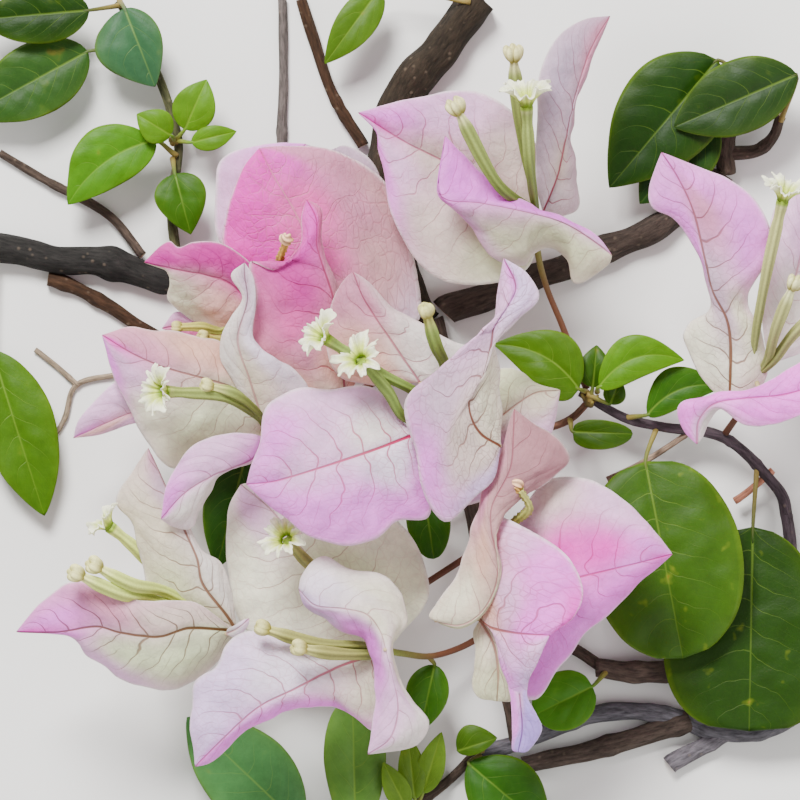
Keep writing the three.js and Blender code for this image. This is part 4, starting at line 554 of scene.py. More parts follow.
def through(points, count):
    """A smooth line through the points, at even steps of its length."""
    points = np.asarray(points, float)
    gap = np.linalg.norm(np.diff(points, axis=0), axis=1) ** 0.5
    knots = np.concatenate([[0], np.cumsum(gap)])
    ends = np.vstack([2 * points[0] - points[1], points, 2 * points[-1] - points[-2]])
    times = np.concatenate([[-gap[0]], knots, [knots[-1] + gap[-1]]])
    fine = [points[:1]]
    for i in range(1, len(points)):
        t0, t1, t2, t3 = times[i - 1:i + 3]
        p0, p1, p2, p3 = ends[i - 1:i + 3]
        t = np.linspace(t1, t2, STEPS_BETWEEN + 1)[1:, None]
        a1 = (t1 - t) / (t1 - t0) * p0 + (t - t0) / (t1 - t0) * p1
        a2 = (t2 - t) / (t2 - t1) * p1 + (t - t1) / (t2 - t1) * p2
        a3 = (t3 - t) / (t3 - t2) * p2 + (t - t2) / (t3 - t2) * p3
        b1 = (t2 - t) / (t2 - t0) * a1 + (t - t0) / (t2 - t0) * a2
        b2 = (t3 - t) / (t3 - t1) * a2 + (t - t1) / (t3 - t1) * a3
        fine.append((t2 - t) / (t2 - t1) * b1 + (t - t1) / (t2 - t1) * b2)
    fine = np.vstack(fine)
    run = run_of(fine)
    at = np.linspace(0, run[-1], count)
    return np.column_stack([np.interp(at, run, fine[:, k]) for k in range(3)])


def waves(points, size, seed):
    """A smooth random height for each point, between about -1 and 1, with bumps of the given size in mm."""
    rng = np.random.default_rng(seed)
    total = np.zeros(points.shape[:-1])
    for _ in range(WAVE_COUNT):
        way = rng.normal(size=3)
        way *= 2 * math.pi / (size * rng.uniform(0.7, 1.6)) / np.linalg.norm(way)
        total += np.sin(points @ way + rng.uniform(0, 2 * math.pi))
    return total / WAVE_PEAK


def smooth_step(low, high, value):
    t = np.clip((value - low) / (high - low), 0, 1)
    return t * t * (3 - 2 * t)


def dealt(spots, along, across):
    """The dye of each point of a sheet, from the spots around it."""
    weight = 0
    total = 0
    for s, t, tint in spots:
        far = (along - s) ** 2 + (SPREAD_ACROSS * (across - t)) ** 2 + SOFT_MIDDLE
        near = 1 / (far ** SPREAD_POWER)
        total = total + near[..., None] * dye(TINTS[tint])
        weight = weight + near
    return total / weight[..., None]


# Meshes

FLOOR_PRESS = 0.3 * MM


def deselect():
    for one in bpy.context.selected_objects:
        one.select_set(False)


def primitive_corners():
    """Where the corners of the new primitive are."""
    mesh = bpy.context.object.data
    flat = np.empty(len(mesh.vertices) * 3)
    mesh.vertices.foreach_get("co", flat)
    return flat.reshape(-1, 3)


def start_piece(name, points, tints, values):
    """Gives the new primitive its points, in metres, its dyes and its other values."""
    piece = bpy.context.object
    piece.name = name
    piece.data.name = name
    piece.location = (0, 0, 0)
    mesh = piece.data
    for layer in list(mesh.uv_layers):
        mesh.uv_layers.remove(layer)
    # What would sink into the floor is pressed flat on it.
    height = points[:, 2] / FLOOR_PRESS
    points[:, 2] = np.where(height < 1, FLOOR_PRESS * np.exp(np.minimum(height, 1) - 1), points[:, 2])
    mesh.vertices.foreach_set("co", points.ravel())
    for key, tint in tints.items():
        rgba = np.ones((len(points), 4))
        rgba[:, :3] = tint
        mesh.attributes.new(key, "FLOAT_COLOR", "POINT").data.foreach_set("color", rgba.ravel())
    for key, value in values.items():
        held = mesh.attributes.new(key, "FLOAT", "POINT").data
        held.foreach_set("value", np.ascontiguousarray(value, float))
    mesh.update()
    return piece


def end_piece(piece, material):
    piece.data.materials.append(material)
    bpy.ops.object.shade_smooth()
    return piece


def drop_twins(mesh):
    """Deletes the faces that welding has laid on each other where a sheet runs to a point: those that
    have three corners in common."""
    alike = {}
    for face in mesh.polygons:
        for trio in combinations(sorted(face.vertices), 3):
            alike.setdefault(trio, []).append(face.index)
    twins = {index for group in alike.values() if len(group) > 1 for index in group}
    if not twins:
        return
    bpy.ops.object.mode_set(mode="EDIT")
    bpy.ops.mesh.select_mode(type="FACE")
    bpy.ops.mesh.select_all(action="DESELECT")
    bpy.ops.object.mode_set(mode="OBJECT")
    for index in twins:
        mesh.polygons[index].select = True
    bpy.ops.object.mode_set(mode="EDIT")
    bpy.ops.mesh.delete(type="FACE")
    bpy.ops.mesh.select_mode(type="VERT")
    bpy.ops.object.mode_set(mode="OBJECT")


def shell(name, grid, thick, tints, values, material, closed=False):
    """A sheet from rows of points, welded where they meet, with a thickness in millimetres."""
    rows, columns = grid.shape[:2]
    deselect()
    bpy.ops.mesh.primitive_grid_add(x_subdivisions=rows - 1, y_subdivisions=columns - 1, size=1)
    flat = primitive_corners()
    at = (np.rint((flat[:, 0] + 0.5) * (rows - 1)).astype(int),
          np.rint((flat[:, 1] + 0.5) * (columns - 1)).astype(int))
    piece = start_piece(name, placed(grid)[at], {key: tint[at] for key, tint in tints.items()},
                        {key: value[at] for key, value in values.items()})
    bpy.ops.object.mode_set(mode="EDIT")
    bpy.ops.mesh.select_all(action="SELECT")
    bpy.ops.mesh.remove_doubles(threshold=WELD_MM * MM)
    if closed:
        bpy.ops.mesh.normals_make_consistent(inside=False)
    bpy.ops.object.mode_set(mode="OBJECT")
    drop_twins(piece.data)
    wall = piece.modifiers.new("wall", "SOLIDIFY")
    wall.thickness = thick * MM
    wall.offset = 0
    bpy.ops.object.modifier_apply(modifier="wall")
    return end_piece(piece, material)


def bar(name, line, radius, sides, tint, material, ridge=None, hollow_shade=0):
    """A round bar along a line, closed at both ends. radius and tint are given for each step of the line,
    ridge is the relief around it, and the last value is how far its tint is painted darker in the hollows of
    that relief, as shade, and lighter on its ridges."""
    count = len(line)
    deselect()
    bpy.ops.mesh.primitive_uv_sphere_add(segments=sides, ring_count=count + 1, radius=1)
    flat = primitive_corners()
    ring = np.rint(np.arccos(np.clip(flat[:, 2], -1, 1)) / math.pi * (count + 1)).astype(int)
    turn = -np.arctan2(flat[:, 1], flat[:, 0])
    step = np.clip(ring - 1, 0, count - 1)
    pole = (ring == 0) | (ring == count + 1)
    way = np.gradient(line, axis=0)
    way /= np.linalg.norm(way, axis=1)[:, None]
    # The direction to the side is carried along the line, so that the bar doesn't twist.
    out = np.empty_like(way)
    first = np.cross(way[0], (0, 0, 1.0))
    if np.linalg.norm(first) < 0.1:
        first = np.cross(way[0], (1.0, 0, 0))
    out[0] = unit(first)
    for i in range(1, count):
        out[i] = unit(out[i - 1] - way[i] * (out[i - 1] @ way[i]))
    side = np.cross(way, out)
    relief = ridge(step / (count - 1), turn) if ridge else 0 * turn
    reach = np.where(pole, 0, np.asarray(radius, float)[step] * (1 + relief))
    spread = out[step] * np.cos(turn)[:, None] + side[step] * np.sin(turn)[:, None]
    points = line[step] + spread * reach[:, None]
    values = {"along_mm": run_of(line)[step], "round_x": np.cos(turn) * reach,
              "round_y": np.sin(turn) * reach}
    shade = np.broadcast_to(tint, (count, 3))[step]
    # Painted shade darkens the hollows of the relief, and painted light brightens its ridges.
    if hollow_shade:
        shade = shade * (1 + hollow_shade * np.where(pole, 0, relief))[:, None]
    return end_piece(start_piece(name, placed(points), {"dye": shade}, values), material)


def joined(name, pieces):
    """One object from several, named for the whole."""
    deselect()
    for one in pieces:
        one.select_set(True)
    bpy.context.view_layer.objects.active = pieces[0]
    if len(pieces) > 1:
        bpy.ops.object.join()
    whole = bpy.context.object
    whole.name = name
    whole.data.name = name
    return whole


# Finishes

def add(tree, kind, inputs, output=0, **settings):
    """Adds a node with its settings and its inputs, each a fixed value or the output of another node, and
    gives one of its outputs."""
    made = tree.nodes.new(kind)
    for key, value in settings.items():
        setattr(made, key, value)
    for key, source in inputs.items():
        if isinstance(source, bpy.types.NodeSocket):
            tree.links.new(source, made.inputs[key])
        else:
            made.inputs[key].default_value = source
    return made.outputs[output]


def given(tree, name, output="Fac"):
    """What a piece holds under a name for each of its points."""
    return add(tree, "ShaderNodeAttribute", {}, output, attribute_name=name)


def worked(tree, operation, *terms):
    """The result of an operation on one to three terms."""
    return add(tree, "ShaderNodeMath", dict(enumerate(terms)), operation=operation)


def ranged(tree, value, low, high, to_low=0.0, to_high=1.0):
    """A value carried over from one range to another, and held inside it."""
    return add(tree, "ShaderNodeMapRange", {0: value, 1: low, 2: high, 3: to_low, 4: to_high})


def clouds(tree, place, scale, detail=2.0, roughness=0.5, dimensions="3D"):
    """Soft clouds over a place."""
    inputs = {"Vector": place, "Scale": scale, "Detail": detail, "Roughness": roughness}
    return add(tree, "ShaderNodeTexNoise", inputs, "Fac", noise_dimensions=dimensions)


def scaled(tree, tint, light):
    return add(tree, "ShaderNodeVectorMath", {0: tint, "Scale": light}, operation="SCALE")


def mixed(tree, share, under, over):
    return add(tree, "ShaderNodeMix", {0: share, 6: under, 7: over}, 2, data_type="RGBA")


def new_finish(name):
    finish = bpy.data.materials.new(name)
    finish.use_nodes = True
    finish.node_tree.nodes.clear()
    return finish, finish.node_tree


def close_tree(tree, face):
    end = tree.nodes.new("ShaderNodeOutputMaterial")
    tree.links.new(face, end.inputs["Surface"])


def skinned(tree, shade, height, strength, relief_mm, roughness, gloss, glow=0.0):
    """Ends a tree in a skin with relief. glow is the share of the light that comes through."""
    bump = add(tree, "ShaderNodeBump", {"Strength": strength, "Distance": relief_mm * MM, "Height": height})
    face = add(tree, "ShaderNodeBsdfPrincipled",
               {"Roughness": roughness, "IOR": 1.45, "Specular IOR Level": gloss, "Base Color": shade,
                "Normal": bump})
    if glow:
        through_light = add(tree, "ShaderNodeBsdfTranslucent", {"Color": shade, "Normal": bump})
        face = add(tree, "ShaderNodeMixShader", {0: glow, 1: face, 2: through_light})
    close_tree(tree, face)


def tissue(name, roughness, glow, net_mm, relief_mm, gloss, grain_mm, stray=0.8, cloud_light=(0.8, 1.12),
           speck=None):
    """Living leaf tissue, with its midrib, its side veins and the net between them. net_mm is the size of
    the finest mesh of veins, stray how far the side veins wander, and speck the dye of old spots."""
    finish, tree = new_finish(name)
    lateral, off, along, across, tip, net_show, bold = [
        given(tree, key) for key in ("lateral", "off_mm", "along_mm", "across", "tipward", "net", "bold")]
    place = add(tree, "ShaderNodeCombineXYZ", {0: along, 1: off})

    # The veins wander, so the places that they are drawn from are stirred by a noise about a cm wide.
    stirred = worked(tree, "SUBTRACT", clouds(tree, place, 0.14, 2.0, 0.45, "2D"), 0.5)
    wander = worked(tree, "MULTIPLY_ADD", stirred, stray, lateral)
    boldly = worked(tree, "MULTIPLY_ADD", bold, 1.6, 0.6)
    veins = None
    # Main side veins run from the midrib to the margin, and finer ones start halfway between them.
    for shift, begins, share, depth in ((0.0, 0.0, 1.0, 0.8), (0.5, 0.3, 0.6, 0.5)):
        part = worked(tree, "FRACT", worked(tree, "ADD", wander, shift))
        apart = worked(tree, "ABSOLUTE", worked(tree, "SUBTRACT", part, 0.5))
        width = share * SIDE_VEIN_MM / VEIN_PITCH_MM
        half = worked(tree, "MULTIPLY", ranged(tree, across, 0.0, 1.0, width, 0.4 * width), boldly)
        line = ranged(tree, apart, half, worked(tree, "MULTIPLY", half, 2.6), depth, 0.0)
        line = worked(tree, "MULTIPLY", line, ranged(tree, across, 0.6, 0.97, 1.0, 0.1))
        if begins:
            line = worked(tree, "MULTIPLY", line, ranged(tree, across, begins, begins + 0.15))
            line = worked(tree, "MAXIMUM", veins, line)
        veins = line

    # The midrib is widest at the base and runs out to a hair at the tip.
    rib_edge = worked(tree, "MULTIPLY", ranged(tree, tip, 0.0, 1.0, 0.15, 0.03), boldly)
    rib_out = worked(tree, "ADD", rib_edge, 0.2)
    rib = ranged(tree, worked(tree, "ABSOLUTE", off), rib_edge, rib_out, 1.0, 0.0)

    # The finest veins close into small cells, and show in patches.
    net_place = add(tree, "ShaderNodeVectorMath", {0: stirred, 1: (3.0, 3.0, 0.0), 2: place},
                    operation="MULTIPLY_ADD")
    cells = add(tree, "ShaderNodeTexVoronoi", {"Vector": net_place, "Scale": 1 / net_mm}, "Distance",
                voronoi_dimensions="2D", feature="DISTANCE_TO_EDGE")
    net = worked(tree, "MULTIPLY", ranged(tree, cells, 0.0, 0.12, 0.6, 0.0), net_show)
    patch = ranged(tree, clouds(tree, place, 0.2, dimensions="2D"), 0.35, 0.62, 0.4, 1.0)
    net = worked(tree, "MULTIPLY", net, patch)
    veins = worked(tree, "MAXIMUM", worked(tree, "MAXIMUM", veins, net), rib)

    # Dye lies unevenly, in clouds a few mm wide.
    where = add(tree, "ShaderNodeTexCoord", {}, "Object")
    light = ranged(tree, clouds(tree, where, 1 / (5 * MM), 5.0, 0.75), 0.25, 0.75, *cloud_light)
    shade = mixed(tree, veins, scaled(tree, given(tree, "dye", "Color"), light),
                  given(tree, "vein_dye", "Color"))
    if speck:
        # Old leaves carry brown specks, each in a yellow patch.
        spots = clouds(tree, where, 1 / (5 * MM))
        for low, high, deep, worn_dye in ((0.66, 0.76, 0.5, "#8F9A22"), (0.72, 0.76, 0.8, speck)):
            worn = worked(tree, "MULTIPLY", ranged(tree, spots, low, high, 0.0, deep), given(tree, "age"))
            shade = mixed(tree, worn, shade, (*dye(worn_dye), 1))
    grain = clouds(tree, where, 1 / (grain_mm * MM), 3.0, 0.6)
    height = worked(tree, "MULTIPLY_ADD", veins, -1.0, grain)
    skinned(tree, shade, height, 0.7, relief_mm, roughness, gloss, glow)
    return finish


def bark(name):
    """Young woody bark: fine ridges along the limb, painted darker in their furrows as shade and lighter on
    their crests, pale corky dots, matt.
    """
    finish, tree = new_finish(name)
    across, deep, along = [given(tree, key) for key in ("round_x", "round_y", "along_mm")]
    drawn = add(tree, "ShaderNodeCombineXYZ", {0: across, 1: deep, 2: worked(tree, "MULTIPLY", along, 0.22)})
    ridges = clouds(tree, drawn, 1.6, 5.0, 0.65)
    whole = add(tree, "ShaderNodeCombineXYZ", {0: across, 1: deep, 2: along})
    dots = add(tree, "ShaderNodeTexVoronoi", {"Vector": whole, "Scale": 0.42}, "Distance")
    dot = ranged(tree, dots, 0.06, 0.2, 0.25, 0.0)
    # The dye is painted darker where the ridges sink and lighter where they rise, as shade and light on the
    # relief.
    ridged = scaled(tree, given(tree, "dye", "Color"), ranged(tree, ridges, 0.3, 0.7, 0.4, 1.6))
    dotted = mixed(tree, dot, ridged, (*dye("#8A7866"), 1))
    skinned(tree, dotted, worked(tree, "ADD", ridges, dot), 1.0, 0.5, 0.85, 0.25)
    return finish


def soft_skin(name, roughness, glow, down_mm):
    """The skin of stalks, flower tubes and petals: finely downy, with the dye of each part."""
    finish, tree = new_finish(name)
    down = clouds(tree, add(tree, "ShaderNodeTexCoord", {}, "Object"), 1 / (down_mm * MM), 3.0)
    shade = scaled(tree, given(tree, "dye", "Color"), ranged(tree, down, 0.3, 0.7, 0.88, 1.1))
    skinned(tree, shade, down, 0.5, 0.08, roughness, 0.4, glow)
    return finish


# A bract is a papery coloured leaf: dull, thin enough to glow, its veins darker and redder than the dye.
PAPERY_BRACT = tissue("papery_bract", roughness=0.6, glow=0.34, net_mm=1.5, relief_mm=0.22, gloss=0.3,
                      grain_mm=0.9)
# A leaf has a waxed skin with a soft shine, and its veins are paler than the blade.
WAXED_LEAF = tissue("waxed_leaf", roughness=0.45, glow=0.16, net_mm=1.7, relief_mm=0.07, gloss=0.18,
                    grain_mm=0.5, stray=0.45, cloud_light=(0.74, 1.2), speck="#9A5A20")
# Bark of a two-year shoot is matt and grey-brown, with ridges about half a millimetre apart.
YOUNG_BARK = bark("young_bark")
# The tube of the flower and the green stalks are downy; the petals are thin and smooth.
DOWNY_STALK = soft_skin("downy_stalk", roughness=0.6, glow=0.05, down_mm=0.4)
PETAL = soft_skin("white_petal", roughness=0.5, glow=0.25, down_mm=0.7)


# Bracts and leaves

# A sheet narrower than these swells less, and has less relief.
SWELL_WIDTH_MM = 8
RELIEF_WIDTH_MM = 6
GROOVE_MM = 0.9
CRUMPLE_MM = 9
FINE_CRUMPLE_MM = 3.2
# How far from the midrib the veins keep their ink
INK_REACH_MM = 11
# How far apart in their pattern two sheets with seeds one apart are
SEED_VEINS = 0.37
SEED_RUN_MM = 17.3


def sheet_piece(name, middle, margins, tint_of, ink, thick, material, seed, shape):
    """A veined sheet between its middle line and its two margins. ink is the dye of its veins, how strong
    it is at the base and at the tip, and how much of the net shows."""
    across = np.linspace(-1, 1, 2 * shape["half"] + 1)
    tipward = np.linspace(0, 1, len(middle))
    right = across > 0
    out = np.abs(across)
    ways = [edge - middle for edge in margins]
    widths = [np.linalg.norm(way, axis=1) for way in ways]
    way = np.where(right[None, :, None], ways[1][:, None, :], ways[0][:, None, :])
    width = np.where(right[None, :], widths[1][:, None], widths[0][:, None])
    grid = middle[:, None, :] + way * out[None, :, None]
    grid[..., 2] += 4 * out * (1 - out) * (np.minimum(1, width / SWELL_WIDTH_MM) * shape["swell"])

    # lateral counts the side veins, which start at the midrib and sweep toward the tip.
    off = np.sign(across) * out * width
    along_mm = np.broadcast_to(run_of(middle)[:, None], off.shape)
    lateral = along_mm / VEIN_PITCH_MM - VEIN_SWEEP * (0.7 * out + 0.5 * out ** 3)[None, :]
    lateral = lateral + 0.2 * np.tanh(off / 1.5)
    lateral = lateral + seed * SEED_VEINS

    up = np.cross(np.gradient(grid, axis=0), np.gradient(grid, axis=1))
    up = up / np.maximum(np.linalg.norm(up, axis=2)[..., None], 1e-9)
    if np.median(up[..., 2]) < 0:
        up = -up

    # The blade bows up between its side veins, sinks at its midrib and ripples at its margins.
    ends = np.sin(math.pi * np.clip(tipward, 0.02, 0.98))[:, None] ** 0.5
    room = np.minimum(1, width / RELIEF_WIDTH_MM)
    bow = np.abs(np.sin(math.pi * (lateral + 0.5))) ** 0.7 - 0.6
    fade = smooth_step(0.3, 1.6, np.abs(off)) * (1 - smooth_step(0.82, 1.0, out)[None, :])
    rise = shape["quilt"] * bow * fade
    rise -= shape["groove"] * np.exp(-(off / GROOVE_MM) ** 2) * (1 - 0.6 * tipward)[:, None]
    rise += shape["ripple"] * np.sin(2 * math.pi * along_mm / shape["wave_mm"] + seed) * out[None, :] ** 3
    rise += shape["crumple"] * waves(grid, CRUMPLE_MM, seed) * (0.35 + 0.65 * out[None, :])
    rise += 0.25 * shape["crumple"] * waves(grid, FINE_CRUMPLE_MM, seed + 1)
    grid = grid + up * (rise * ends * room)[..., None]

    whole = [np.broadcast_to(value, off.shape) for value in (tipward[:, None], across[None, :], out[None, :])]
    tint = tint_of(whole[0], whole[1])
    vein_code, at_base, at_tip, net = ink
    strength = (at_base + (at_tip - at_base) * tipward)[:, None] * np.exp(-(off / INK_REACH_MM) ** 2)
    vein_dye = blended(strength, tint * shape["vein"], dye(vein_code))
    # A thin painted highlight lightens the margin, in the rim's tint.
    edge = smooth_step(0.95, 1.0, out)[None, :, None] * shape["rim"]
    tint = tint * (1 - edge) + dye(shape["rim_tint"]) * edge
    values = {
        "along_mm": along_mm + SEED_RUN_MM * seed, "off_mm": off, "lateral": lateral, "across": whole[2],
        "tipward": whole[0], "age": np.full(off.shape, shape["age"]), "net": np.full(off.shape, net),
        "bold": strength,
    }
    return shell(name, grid, thick, {"dye": tint, "vein_dye": vein_dye}, values, material)


# Half the columns of the mesh, the heights of its relief in millimetres, how strongly a painted highlight
# lightens its rim and the highlight's colour, how old it is, and its veins' colour against the blade's
BRACT_SHAPE = dict(half=26, swell=1.2, quilt=0.2, groove=0.25, ripple=0.35, wave_mm=9.0, crumple=0.4,
                   rim=0.8, rim_tint="#FBF4F0", age=0.0, vein=(0.78, 0.54, 0.58))
LEAF_SHAPE = dict(half=12, swell=0.5, quilt=0.12, groove=0.25, ripple=0.3, wave_mm=13.0, crumple=0.3,
                  rim=0.35, rim_tint="#7C9A2A", vein=(1.25, 1.12, 1.0))
LEAF_INK = ("#84A23A", 0.32, 0.1, 0.1)


def bract_piece(name, bract, seed):
    rib = bract["rib"]
    margins = [through([rib[0], *bract[side], rib[-1]], BRACT_ROWS) for side in ("left", "right")]
    return sheet_piece(name, through(rib, BRACT_ROWS), margins, lambda s, t: dealt(bract["flush"], s, t),
                       bract["ink"], BRACT_MM, PAPERY_BRACT, seed, BRACT_SHAPE)


def leaf_reach(along, widest, blunt):
    """The outline of an ovate leaf: 1 where it is widest and 0 at both ends."""
    full = 0.9 if blunt else 1.6
    near = (along / widest) ** (widest * full)
    far = ((1 - along) / (1 - widest)) ** ((1 - widest) * full)
    return near * far


def leaf_piece(name, leaf, green, seed):
    base = np.array(leaf["base"], float)
    tip = np.array(leaf["tip"], float)
    along = np.linspace(0, 1, LEAF_ROWS)
    way = unit((tip - base) * (1, 1, 0))
    to_left = np.array((-way[1], way[0], 0))
    hump = 4 * along * (1 - along)
    middle = base + (tip - base) * along[:, None] + to_left * (leaf["bow"] * hump)[:, None]
    middle[:, 2] += leaf["arch"] * hump
    reach = leaf_reach(along, leaf["widest"], leaf["blunt"])
    margins = [middle + to_left * (side * reach)[:, None] for side in (leaf["left"], -leaf["right"])]
    own = dye(green) * np.random.default_rng(seed).uniform(0.79, 0.91)
    pale = own * 0.85 + dye("#8CAF24") * 0.15

    def tint_of(s, t):
        edge = smooth_step(0.55, 1.0, np.abs(t))[..., None] * 0.35
        return own * (1 - edge) + pale * edge

    shape = dict(LEAF_SHAPE, age=0.9 if "big" in name else 0.2)
    return sheet_piece(name, middle, margins, tint_of, LEAF_INK, LEAF_MM, WAXED_LEAF, seed, shape)


# Stalks, flowers and limbs

TUBE_STEPS = 60
TUBE_SIDES = 30
BUD_OUT_MM = 1.4
BUD_STEPS = 14
BUD_LOBES = 5
# A star is set this far back from the mouth of its closed solid, where its tube ends.
STAR_BACK_MM = 1.5
STAR_MM = 5.3
STAR_DEPTH_MM = 2.6
STAR_FOOT_MM = 1.1
STAR_ROWS = 20
STAR_COLUMNS = 241
CURL_STEPS = 30
CURL_SIDES = 24
LOBE_SIDES = 12
LIMB_STEP_MM = 0.8
LIMB_STEPS_LEAST = 14
LIMB_SIDES = 26
# How long the small sways of a limb are, and how far they go against its radius
SWAY_MM = 16
SWAY = 0.12
KNOT_EVERY_MM = 14
KNOT_SWELL = 0.16
CUT_WOOD = "#B8A184"
# How far a cut end stands out, against a step of the limb
CUT_RISE = 0.02


def stalk_piece(name, points, radii, tints, steps, sides):
    part = np.linspace(0, 1, steps)
    radius = np.interp(part, np.linspace(0, 1, len(radii)), radii)
    shades = np.array([dye(code) for code in tints])
    tint = np.column_stack([np.interp(part, np.linspace(0, 1, len(tints)), shades[:, k]) for k in range(3)])
    return bar(name, through(points, steps), radius, sides, tint, DOWNY_STALK)


def flower_parts(bloom, kind, base, bend, mouth, *own, seed):
    """A flower: its ribbed tube, and the open star, the closed club or the withered curl on it."""
    name = bloom["name"]
    rng = np.random.default_rng(seed)
    mouth = np.array(mouth, float)
    way = unit(mouth - np.array(bend, float))
    out = {"star": -STAR_BACK_MM, "bud": BUD_OUT_MM, "withered": 0}[kind]
    if kind == "bud":
        out += sum(own)
    top = mouth + way * out
    line = through([bloom["heart"], base, bend, top], TUBE_STEPS)
    part = np.linspace(0, 1, TUBE_STEPS)
    run = run_of(line)
    left = run[-1] - run
    radius = 0.62 + 0.3 * smooth_step(0.05, 0.4, part) + 0.24 * smooth_step(0.45, 0.75, part)
    radius = radius - 0.22 * smooth_step(6.0, 3.0, left)
    low, high, tip = [dye(code) for code in bloom["tube"]]
    tint = blended(smooth_step(0.1, 0.8, part), low, high)
    twist = 2.5
    if kind == "bud":
        spread, size = bloom["buds"]
        radius = (radius - (0.08 + 0.17 * spread) * smooth_step(4.5, 2.2, left)) * (0.4 + 0.6 * size)
        tint = blended(smooth_step(5.5, 1.5, left), tint, tip)
    elif kind == "withered":
        radius = radius * (0.72 + 0.16 * np.cos(run * 5.5))
        tint = blended(smooth_step(0.5, 1.0, part), low, tip)
        twist = 14
    else:
        radius = radius + 0.25 * smooth_step(4.0, 0.0, left)
        tint = blended(0.5 * smooth_step(2.0, 0.3, left), tint, tip)
        tint[-2:] = dye("#86A02C")

    def ribs(along, turn):
        return 0.13 * np.cos(5 * turn + twist * along)

    # The ribs of the tube are painted darker in their grooves, as shade, and lighter on their crests.
    pieces = [bar(name + "_tube", line, radius, TUBE_SIDES, tint, DOWNY_STALK, ribs, 1.7)]
    if kind == "bud":
        pieces += bud_lobes(name + "_lobe", top, way, spread, size, tip, rng)
    elif kind == "withered":
        pieces.append(curl_piece(name + "_curl", mouth, way, seed))
    else:
        size, turn_up, cup = own[0]
        face = unit(way + np.array((0, 0, turn_up)))
        pieces.append(star_piece(name + "_star", top, face, size, cup, rng.uniform(0, 2 * math.pi), seed))
    return pieces


def bud_lobes(name, top, way, spread, size, tip, rng):
    """The closed head of a bud: folded lobes that meet in a crown, and stand apart as they spread. size is
    against a full bud."""
    side, other = frame_around(way)
    pieces = []
    cream, tan = 0.5 * (dye("#E6DE9C") + tip), dye("#968E3C")
    apart = (0.4 + 0.72 * spread) * size
    full = (0.88 - 0.2 * spread) * size
    part = np.linspace(0, 1, BUD_STEPS)
    # A lobe is thickest at the first share of its length, and the second share is left.
    thickest, rest = 0.62, 0.38
    radius = full * np.sqrt(np.clip(1 - ((part - thickest) / thickest) ** 2, 0.02, 1))
    tapered = full * np.sqrt(np.clip(1 - ((part - thickest) / rest) ** 2, 0.03, 1))
    radius = np.where(part > thickest, tapered, radius)
    lit = smooth_step(0.15, 0.75, part) - 0.45 * smooth_step(0.85, 1.0, part)
    for number in range(BUD_LOBES):
        turn = 2 * math.pi * (number + rng.uniform(-0.1, 0.1)) / BUD_LOBES
        out = side * math.cos(turn) + other * math.sin(turn)
        high = (rng.uniform(0.5, 0.8) + 0.5 * spread) * size
        points = [top - way * 1.8 * size + out * 0.45 * size,
                  top - way * 0.6 + out * (0.3 * size + 0.6 * apart), top + way * 0.4 + out * apart,
                  top + way * high + out * (0.4 + 0.5 * spread) * apart]
        # Each lobe is painted darker in the hollows of its relief, as shade, and lighter on its ridges.
        pieces.append(bar(name, through(points, BUD_STEPS), radius, LOBE_SIDES, blended(lit, tan, cream),
                          DOWNY_STALK, lambda along, turn: 0.1 * np.cos(3 * turn), 2.0))
    return pieces


def star_piece(name, foot, way, size, cup, spin, seed):
    """The open flower: a funnel of five crisped lobes, each with two points, around a green throat. cup is
    how deep the funnel is, against a flat one."""
    out = np.linspace(0, 1, STAR_ROWS)[:, None]
    turn = np.linspace(0, 2 * math.pi, STAR_COLUMNS)[None, :]
    side, other = frame_around(way)
    lobe = np.abs(np.cos(2.5 * (turn + spin)))
    point = 1 - np.abs(2 * (((turn + spin) * 5 / math.pi) % 1) - 1)
    # The waves of the margin, from the broadest to the finest, are in no step with the five lobes.
    reach = STAR_MM * size * (0.54 + 0.16 * lobe + 0.36 * point ** 0.8)
    reach = reach * (1 + 0.09 * np.sin(3 * turn + seed) + 0.07 * np.sin(7 * turn + 2 * seed))
    reach = reach * (1 + 0.045 * np.sin(29 * turn + seed))
    radius = STAR_FOOT_MM + (reach - STAR_FOOT_MM) * out ** 1.1
    rise = STAR_DEPTH_MM * size * cup * (out ** 0.75 - 0.45 / cup ** 1.3 * out ** 3)
    rise = rise + 0.45 * out * (0.5 - point) + 0.4 * out * np.cos(5 * (turn + spin))
    rise = rise + 0.5 * out ** 2 * np.sin(4 * turn + seed) + 0.3 * out ** 2 * np.sin(13 * turn + seed)
    rise = rise + 0.2 * out ** 3 * np.sin(31 * turn + 2 * seed)
    spread = side * np.cos(turn)[..., None] + other * np.sin(turn)[..., None]
    grid = foot + spread * radius[..., None] + way * rise[..., None]
    shade = blended(smooth_step(0.06, 0.26, out), dye("#7E9A1C"), dye("#DCE870"))
    shade = blended(smooth_step(0.25, 0.85, out), shade, dye("#FCFCE2"))
    # The petals are painted darker toward the notches between their points, as shade in the folds, and
    # lighter at the points, as light.
    fold = 1 + 0.16 * (point - 0.6) * out
    return shell(name, grid, PETAL_MM, {"dye": shade * fold[..., None]}, {}, PETAL, closed=True)


def curl_piece(name, mouth, way, seed):
    """A withered flower head, dried into a small ribbed twist."""
    steps = np.linspace(-0.15, 1, CURL_STEPS)
    side, other = frame_around(way)
    line = mouth + (way + side * 0.5) * (steps * 2.3)[:, None]
    line = line + side * (0.35 * np.sin(5 * steps + seed))[:, None]
    line = line + other * (0.35 * np.cos(4 * steps + seed))[:, None]
    radius = 1.15 * np.sqrt(np.clip(1 - (2 * np.linspace(0, 1, CURL_STEPS) - 1) ** 2, 0.02, 1))
    tint = blended(smooth_step(0.15, 0.7, steps), dye("#B08440"), dye("#E4B48C"))
    # The curl is painted darker in the hollows of its ribs, as shade, and lighter on their crests.
    return bar(name, line, radius, CURL_SIDES, tint, DOWNY_STALK,
               lambda along, turn: 0.18 * np.cos(5 * turn + 9 * along), 2.8)


